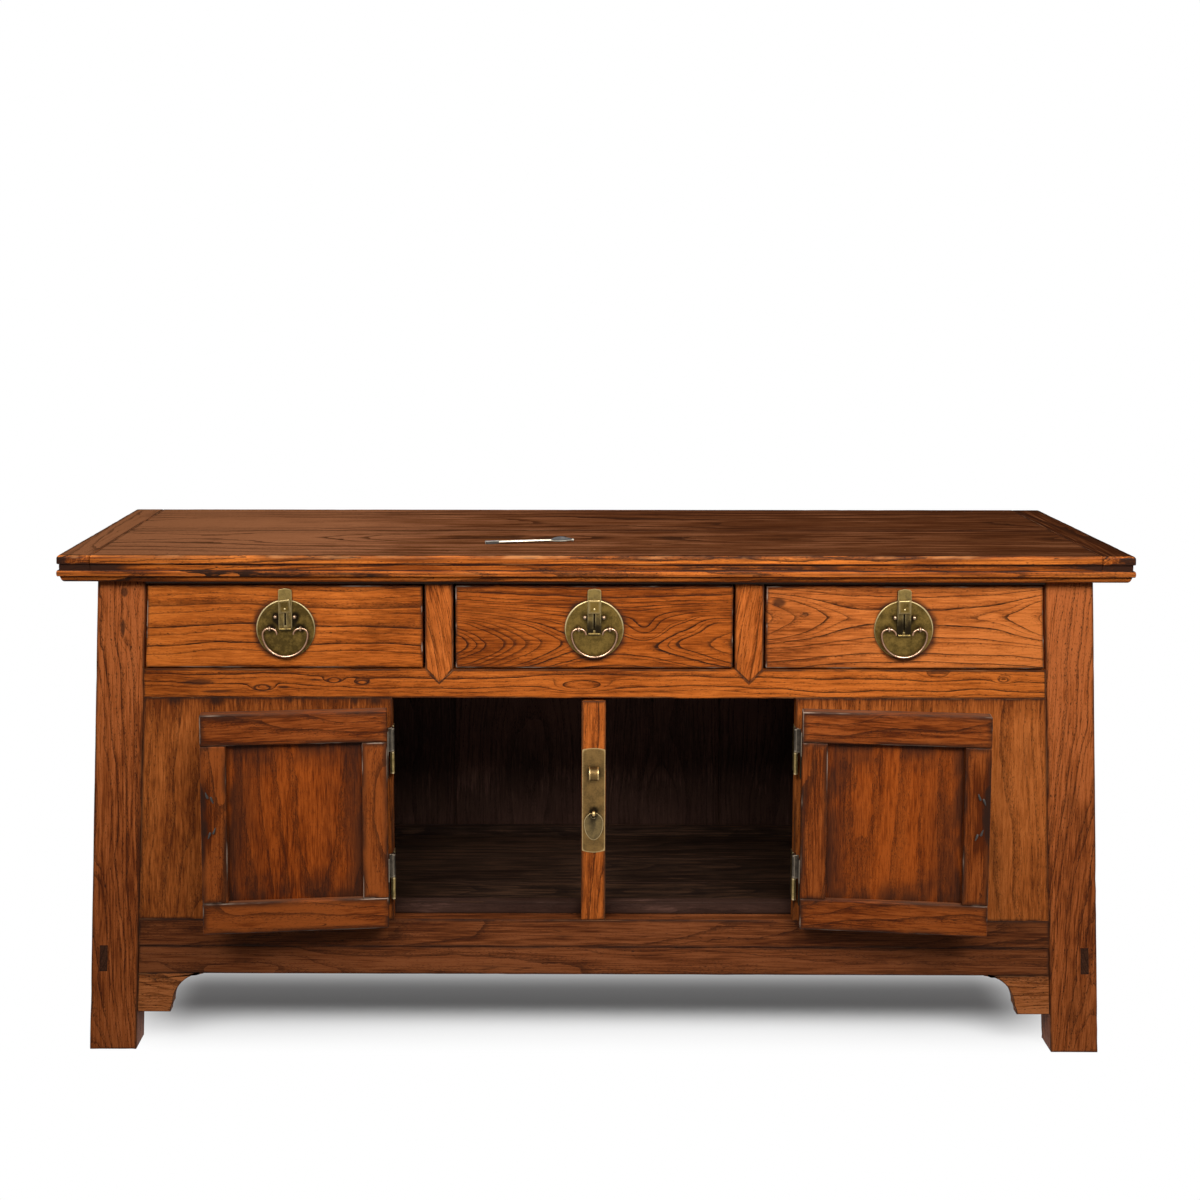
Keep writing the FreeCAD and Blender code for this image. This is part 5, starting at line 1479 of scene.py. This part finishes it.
def pendantShape(x, place=None):
    # Widest a third of the way down, drawn in to a round tip, with a slot for its eye
    z = lockLook["eye"]
    long, half = lockLook["pendantLong"], lockLook["pendantHalf"]
    wideAt = 0.34
    neckShare = lockLook["neck"] / half
    side = []
    for i in range(15):
        share = i / 14
        down = math.sin(share * math.pi / 2) ** 1.3 if share < 1 else 1.0
        if down < wideAt:
            away = (wideAt - down) / wideAt
            width = half * math.sqrt(1 - (1 - neckShare ** 2) * away ** 2)
        else:
            away = (down - wideAt) / (1 - wideAt)
            width = half * (1 - away ** 2.3) ** 0.6
        side.append((width, z - down * long))
    slot, deep = lockLook["slot"], lockLook["slotDeep"]
    outline = [(x + w, h) for w, h in reversed(side)] + [(x + slot, z)]
    outline += arc(x, z - deep + slot, slot, 0, -180, 8) + [(x - slot, z)]
    outline += [(x - w, h) for w, h in side[:-1]]
    y = lockFace - lockLook["eyeOut"]
    thick = lockLook["pendantThick"]
    seenX = place(np.array([(x, y, z)]))[0][0] if place else x

    def tone(points):
        return np.where(np.hypot(points[:, 0] - seenX, points[:, 2] - z) < 0.009, 0.05, 0.55)

    shape = newShape()
    addPlate(shape, outline, y - thick / 2, y + thick / 2, 0.0009, insets=(0.0002,), flat=0.0016,
             place=place, tone=tone)
    addTube(shape, [(x - lockLook["neck"], y, z), (x + lockLook["neck"], y, z)], lockLook["bar"],
            place=place)
    return shape


for owner, body, pendantBody, x, half, place in (
    ("stile", "centre_stile", "stile_pendant", 0.0, lockLook["half"], None),
    ("door_left", "door_left", "pendant_door_left", -lockLook["doorAt"], lockLook["doorHalf"], swung(-1)),
    ("door_right", "door_right", "pendant_door_right", lockLook["doorAt"], lockLook["doorHalf"], swung(1)),
):
    dressNode(owner + "_lock_plate", lockPlate(x, half, place), lockBrass, body)
    dressNode(owner + "_lock_eyes", lockEyes(x, place), lockBrass, body)
    dressNode(owner + "_pendant", pendantShape(x, place), pendantBrass, pendantBody)

# Ends of the staple and eye, clenched over on the doors' inner faces, with painted glints along their upper
# fronts
clenchLook = {"at": ((0.461, 0.0145, 1), (0.402, 0.0175, -1)), "wire": 0.0019, "long": 0.009,
              "worn": Vector((0, -0.6, 0.8))}
for side, name in bothSides:
    shape = newShape()
    face = front + doorLook["thick"]
    for z, fromFree, lean in clenchLook["at"]:
        x = side * (doorLook["free"] + fromFree)
        for turn in (-1, 1):
            foot = x + turn * 0.0026
            path = [(foot, face - 0.002, z), (foot, face + 0.0008, z),
                    (foot + turn * 0.0012, face + 0.0016, z + lean * turn * 0.003),
                    (foot + turn * 0.0034, face + 0.0011, z + lean * turn * clenchLook["long"])]
            addTube(shape, path, [clenchLook["wire"], clenchLook["wire"], clenchLook["wire"], 0.0008],
                    sides=10, place=swung(side),
                    edge=rubbedTowards(clenchLook["worn"]))
    makePiece("door" + name.capitalize() + "ClenchedPins", shape, clenchIron, "door_" + name)
print("locks made")

# Lift-off hinges: pin and lower knuckle on the case, upper knuckle on the door
hingeLook = {"heights": (0.3075, 0.5215), "half": 0.039, "barrel": 0.0038, "pin": 0.0019, "leaf": 0.0016,
             "start": 0.001, "end": 0.018, "split": 0.001, "gap": 0.0003, "pinShort": 0.004}


def addKnuckle(shape, x, low, high):
    r = hingeLook["barrel"]
    profile = [(r * 0.75, 0.0, 0.0006), (r, 0.0006, 0.0), (r, 0.004, 0.0014),
               (r, high - low - 0.004, 0.0014), (r, high - low - 0.0006, 0.0),
               (r * 0.75, high - low, 0.0006)]
    addLathe(shape, profile, (x, doorLook["axisY"], low), (0, 0, 1), segments=20)


caseLeaf = newShape()
for side, name in bothSides:
    doorLeaf = newShape()
    axisX, axisY, jamb = doorLook["axisX"], doorLook["axisY"], case["openHalf"]
    leaf, hingeEdge = hingeLook["leaf"], doorLook["hingeEdge"]
    bendY = axisY + hingeLook["barrel"] - leaf
    leafEnd = front + hingeLook["end"]
    thin = {"radius": 0.0004, "wear": (0.0, 0.0), "side": side}
    doorThin = dict(thin, place=swung(side))
    for centre in hingeLook["heights"]:
        low, high = centre - hingeLook["half"], centre + hingeLook["half"]
        split = centre - hingeLook["split"]
        upper = split + hingeLook["gap"]
        addKnuckle(caseLeaf, side * axisX, low, split)
        pinEnds = [(side * axisX, axisY, z) for z in (split - 0.002, high - hingeLook["pinShort"])]
        addTube(caseLeaf, pinEnds, hingeLook["pin"])
        addBoard(caseLeaf, (jamb - leaf, jamb), (axisY, leafEnd), (low, split), "zyx", **thin)
        addBoard(caseLeaf, (jamb - leaf, jamb), (front + hingeLook["start"], leafEnd), (split, high), "zyx",
                 **thin)
        addKnuckle(doorLeaf, side * axisX, upper, high)
        addBoard(doorLeaf, (hingeEdge, axisX), (bendY, bendY + leaf), (upper, high), "zyx", **doorThin)
        addBoard(doorLeaf, (hingeEdge, hingeEdge + leaf), (bendY, leafEnd), (upper, high), "zyx",
                 **doorThin)
        addBoard(doorLeaf, (hingeEdge, hingeEdge + leaf), (front + hingeLook["start"], leafEnd),
                 (low, upper), "zyx", tone=0.0, **doorThin)
    body = "door_" + name
    makePiece("door" + name.capitalize() + "Hinges", doorLeaf, greyBrass, body,
              [body + "_hinge_leaves"])
makePiece("caseHinges", caseLeaf, hingeBrass, "case", ["case_hinge_leaves"])

# Lock pin lying on the table top: square head, tapering bar and a leaf-shaped handle curled at its tip
lockPinLook = {"start": (-0.182, -0.119), "turn": 11.5, "bar": 0.112, "head": 0.024, "headHalf": 0.0026,
               "leaf": 0.040, "leafHalf": 0.0048, "leafThick": 0.0016, "rest": 0.0002}


def laidDown(points):
    points = np.array(points, dtype=float)
    c, s = turned(lockPinLook["turn"])
    x0, y0 = lockPinLook["start"]
    x, y, z = points.T
    return np.column_stack([x0 + c * x - s * y, y0 + s * x + c * y, z])


bed = case["height"] + lockPinLook["rest"]
axisZ = bed + lockPinLook["headHalf"]
shape = newShape()
# The bar: distance from the head's end and radius
bar = ((0.020, 0.0023), (0.026, 0.0024), (0.036, 0.0024), (0.060, 0.0024), (0.090, 0.0022), (0.108, 0.0020),
       (0.114, 0.0016))
# The bar's underside is painted black: painted shade where it lies on the table
addTube(shape, [(a, 0.0, axisZ) for a, radius in bar], [radius for a, radius in bar], sides=16,
        place=laidDown, tone=lambda points: np.where(points[:, 2] < axisZ - 0.0010, 0.0, 0.6))
makePiece("lockPinBar", shape, pinMetal, "lock_pin", ["lock_pin"])
shape = newShape()
half = lockPinLook["headHalf"]
addBoard(shape, (0.0, lockPinLook["head"]), (-half, half), (bed, bed + 2 * half), "xyz", radius=0.0009,
         step=0.004, wear=(0.0, 0.0), place=laidDown)
leafStart, leafLong, thick = lockPinLook["bar"], lockPinLook["leaf"], lockPinLook["leafThick"]
# The leaf stands on its front edge and leans back, and its tip curls down:
# (share of the length, height, half width, lean)
stance = ((0.0, axisZ - bed, 0.0019, 0), (0.08, 0.0034, 0.0026, 30), (0.18, 0.0041, 0.0037, 50),
          (0.32, 0.0046, 0.0046, 55), (0.48, 0.0047, lockPinLook["leafHalf"], 55),
          (0.64, 0.0044, 0.0044, 55), (0.78, 0.0039, 0.0033, 48), (0.88, 0.0036, 0.0026, 35),
          (0.95, 0.0028, 0.0021, 10), (1.0, 0.0014, 0.0018, 0))
frames = []
for share, high, half, lean in stance:
    c, s = turned(lean)
    frames.append(((leafStart + share * leafLong, 0.0, bed + high), (0, c, s), (0, -s, c), half))
addSweep(shape, frames, [(-1.0, -thick / 2, 0.0), (1.0, -thick / 2, 0.002), (0.9, thick * 0.4, 0.0010),
                         (0.4, thick / 2, 0.0014), (0.0, thick * 0.2, 0.002), (-0.4, thick / 2, 0.0014),
                         (-0.9, thick * 0.4, 0.0)], tone=0.3, place=laidDown)
addLathe(shape, [(0.0008, -0.0022, 0.0), (0.0022, -0.0010, 0.0), (0.0022, 0.0010, 0.0),
                 (0.0008, 0.0022, 0.0)], (leafStart + leafLong - 0.0010, -0.0016, bed + 0.0024), (1, 0, 0),
         segments=16, place=laidDown)
makePiece("lockPinEnds", shape, pinDark, "lock_pin")
print("hinges and lock pin made")

# Floor, light and camera
stageLook = {"halfWide": 0.70, "halfDeep": 0.02, "fade": 0.20, "least": 0.06, "floor": 0.80, "bounce": 0.15,
             "air": 0.13}
white = (1, 1, 1, 1)


def seenDirectly(desk):
    # One for rays that show the background: from the camera, off metal or through glass
    rays = desk.put("ShaderNodeLightPath").outputs
    direct = desk.calc("MAXIMUM", rays["Is Camera Ray"], rays["Is Glossy Ray"])
    return desk.calc("MAXIMUM", direct, rays["Is Transmission Ray"])


def outside(desk, place, half):
    past = desk.calc("MAXIMUM", desk.calc("SUBTRACT", desk.calc("ABSOLUTE", place), half), 0.0)
    return desk.calc("MULTIPLY", past, past)


bpy.ops.mesh.primitive_plane_add(size=60, location=(0, 0, 0))
floor = bpy.context.object
floor.name = "studioFloor"
floorMaterial = newMaterial("paleFloor")
desk = Desk(floorMaterial)
# The floor shows its shade close to the object and is plain white further off
spot = desk.put("ShaderNodeSeparateXYZ", {0: desk.put("ShaderNodeNewGeometry").outputs["Position"]})
away = desk.calc("SQRT", desk.calc("ADD", outside(desk, spot.outputs[0], stageLook["halfWide"]),
                                   outside(desk, spot.outputs[1], stageLook["halfDeep"])))
far = desk.fit(away, 0.0, stageLook["fade"], stageLook["least"], 1.0)
matte = desk.put("ShaderNodeBsdfDiffuse", {"Color": (stageLook["floor"],) * 3 + (1.0,)}).outputs[0]
unseen = desk.put("ShaderNodeBsdfDiffuse", {"Color": (stageLook["bounce"],) * 3 + (1.0,)}).outputs[0]
glow = desk.put("ShaderNodeEmission", {"Color": white, "Strength": 1.0}).outputs[0]
shown = desk.put("ShaderNodeMixShader", {0: far, 1: matte, 2: glow}).outputs[0]
mixed = desk.put("ShaderNodeMixShader", {0: seenDirectly(desk), 1: unseen, 2: shown}).outputs[0]
desk.put("ShaderNodeOutputMaterial", {0: mixed})
floor.data.materials.append(floorMaterial)

world = bpy.data.worlds.new("studioAir")
scene.world = world
world.use_nodes = True
desk = Desk(world)
dim = desk.put("ShaderNodeBackground", {"Color": white, "Strength": stageLook["air"]}).outputs[0]
bright = desk.put("ShaderNodeBackground", {"Color": white, "Strength": 1.0}).outputs[0]
mixed = desk.put("ShaderNodeMixShader", {0: seenDirectly(desk), 1: dim, 2: bright}).outputs[0]
desk.put("ShaderNodeOutputWorld", {0: mixed})


def addLamp(name, place, aim, size, power, spread):
    data = bpy.data.lights.new(name, "AREA")
    data.shape = "RECTANGLE"
    data.size, data.size_y = size
    data.energy = power
    data.spread = math.radians(spread)
    lamp = bpy.data.objects.new(name, data)
    lamp.location = place
    lamp.rotation_euler = (Vector(aim) - Vector(place)).to_track_quat("-Z", "Y").to_euler()
    scene.collection.objects.link(lamp)


addLamp("keySoftbox", (1.00, -1.75, 2.20), (0.50, -0.2, 0.92), (1.6, 1.0), 10.5, 58)
addLamp("fillSoftbox", (-1.05, -1.75, 2.15), (-0.40, -0.2, 0.92), (1.6, 1.0), 8.0, 58)
addLamp("overheadSoftbox", (0.0, 0.1, 2.7), (0.0, 0.0, 0.8), (2.4, 1.0), 12, 180)
addLamp("rearSoftbox", (0.0, 2.6, 2.2), (0.0, 0.2, 0.5), (2.4, 1.2), 30, 180)

cameraLook = {"place": (-0.0803, -2.7223, 1.307), "yaw": -0.396, "pitch": 5.404, "lens": 46.815,
              "shift": (0.0544, -0.15)}
cameraData = bpy.data.cameras.new("photoCamera")
cameraData.sensor_width = 36
cameraData.lens = cameraLook["lens"]
cameraData.shift_x, cameraData.shift_y = cameraLook["shift"]
camera = bpy.data.objects.new("photoCamera", cameraData)
camera.location = cameraLook["place"]
camera.rotation_euler = (math.radians(90 - cameraLook["pitch"]), 0, -math.radians(cameraLook["yaw"]))
scene.collection.objects.link(camera)
scene.camera = camera
print("stage made")
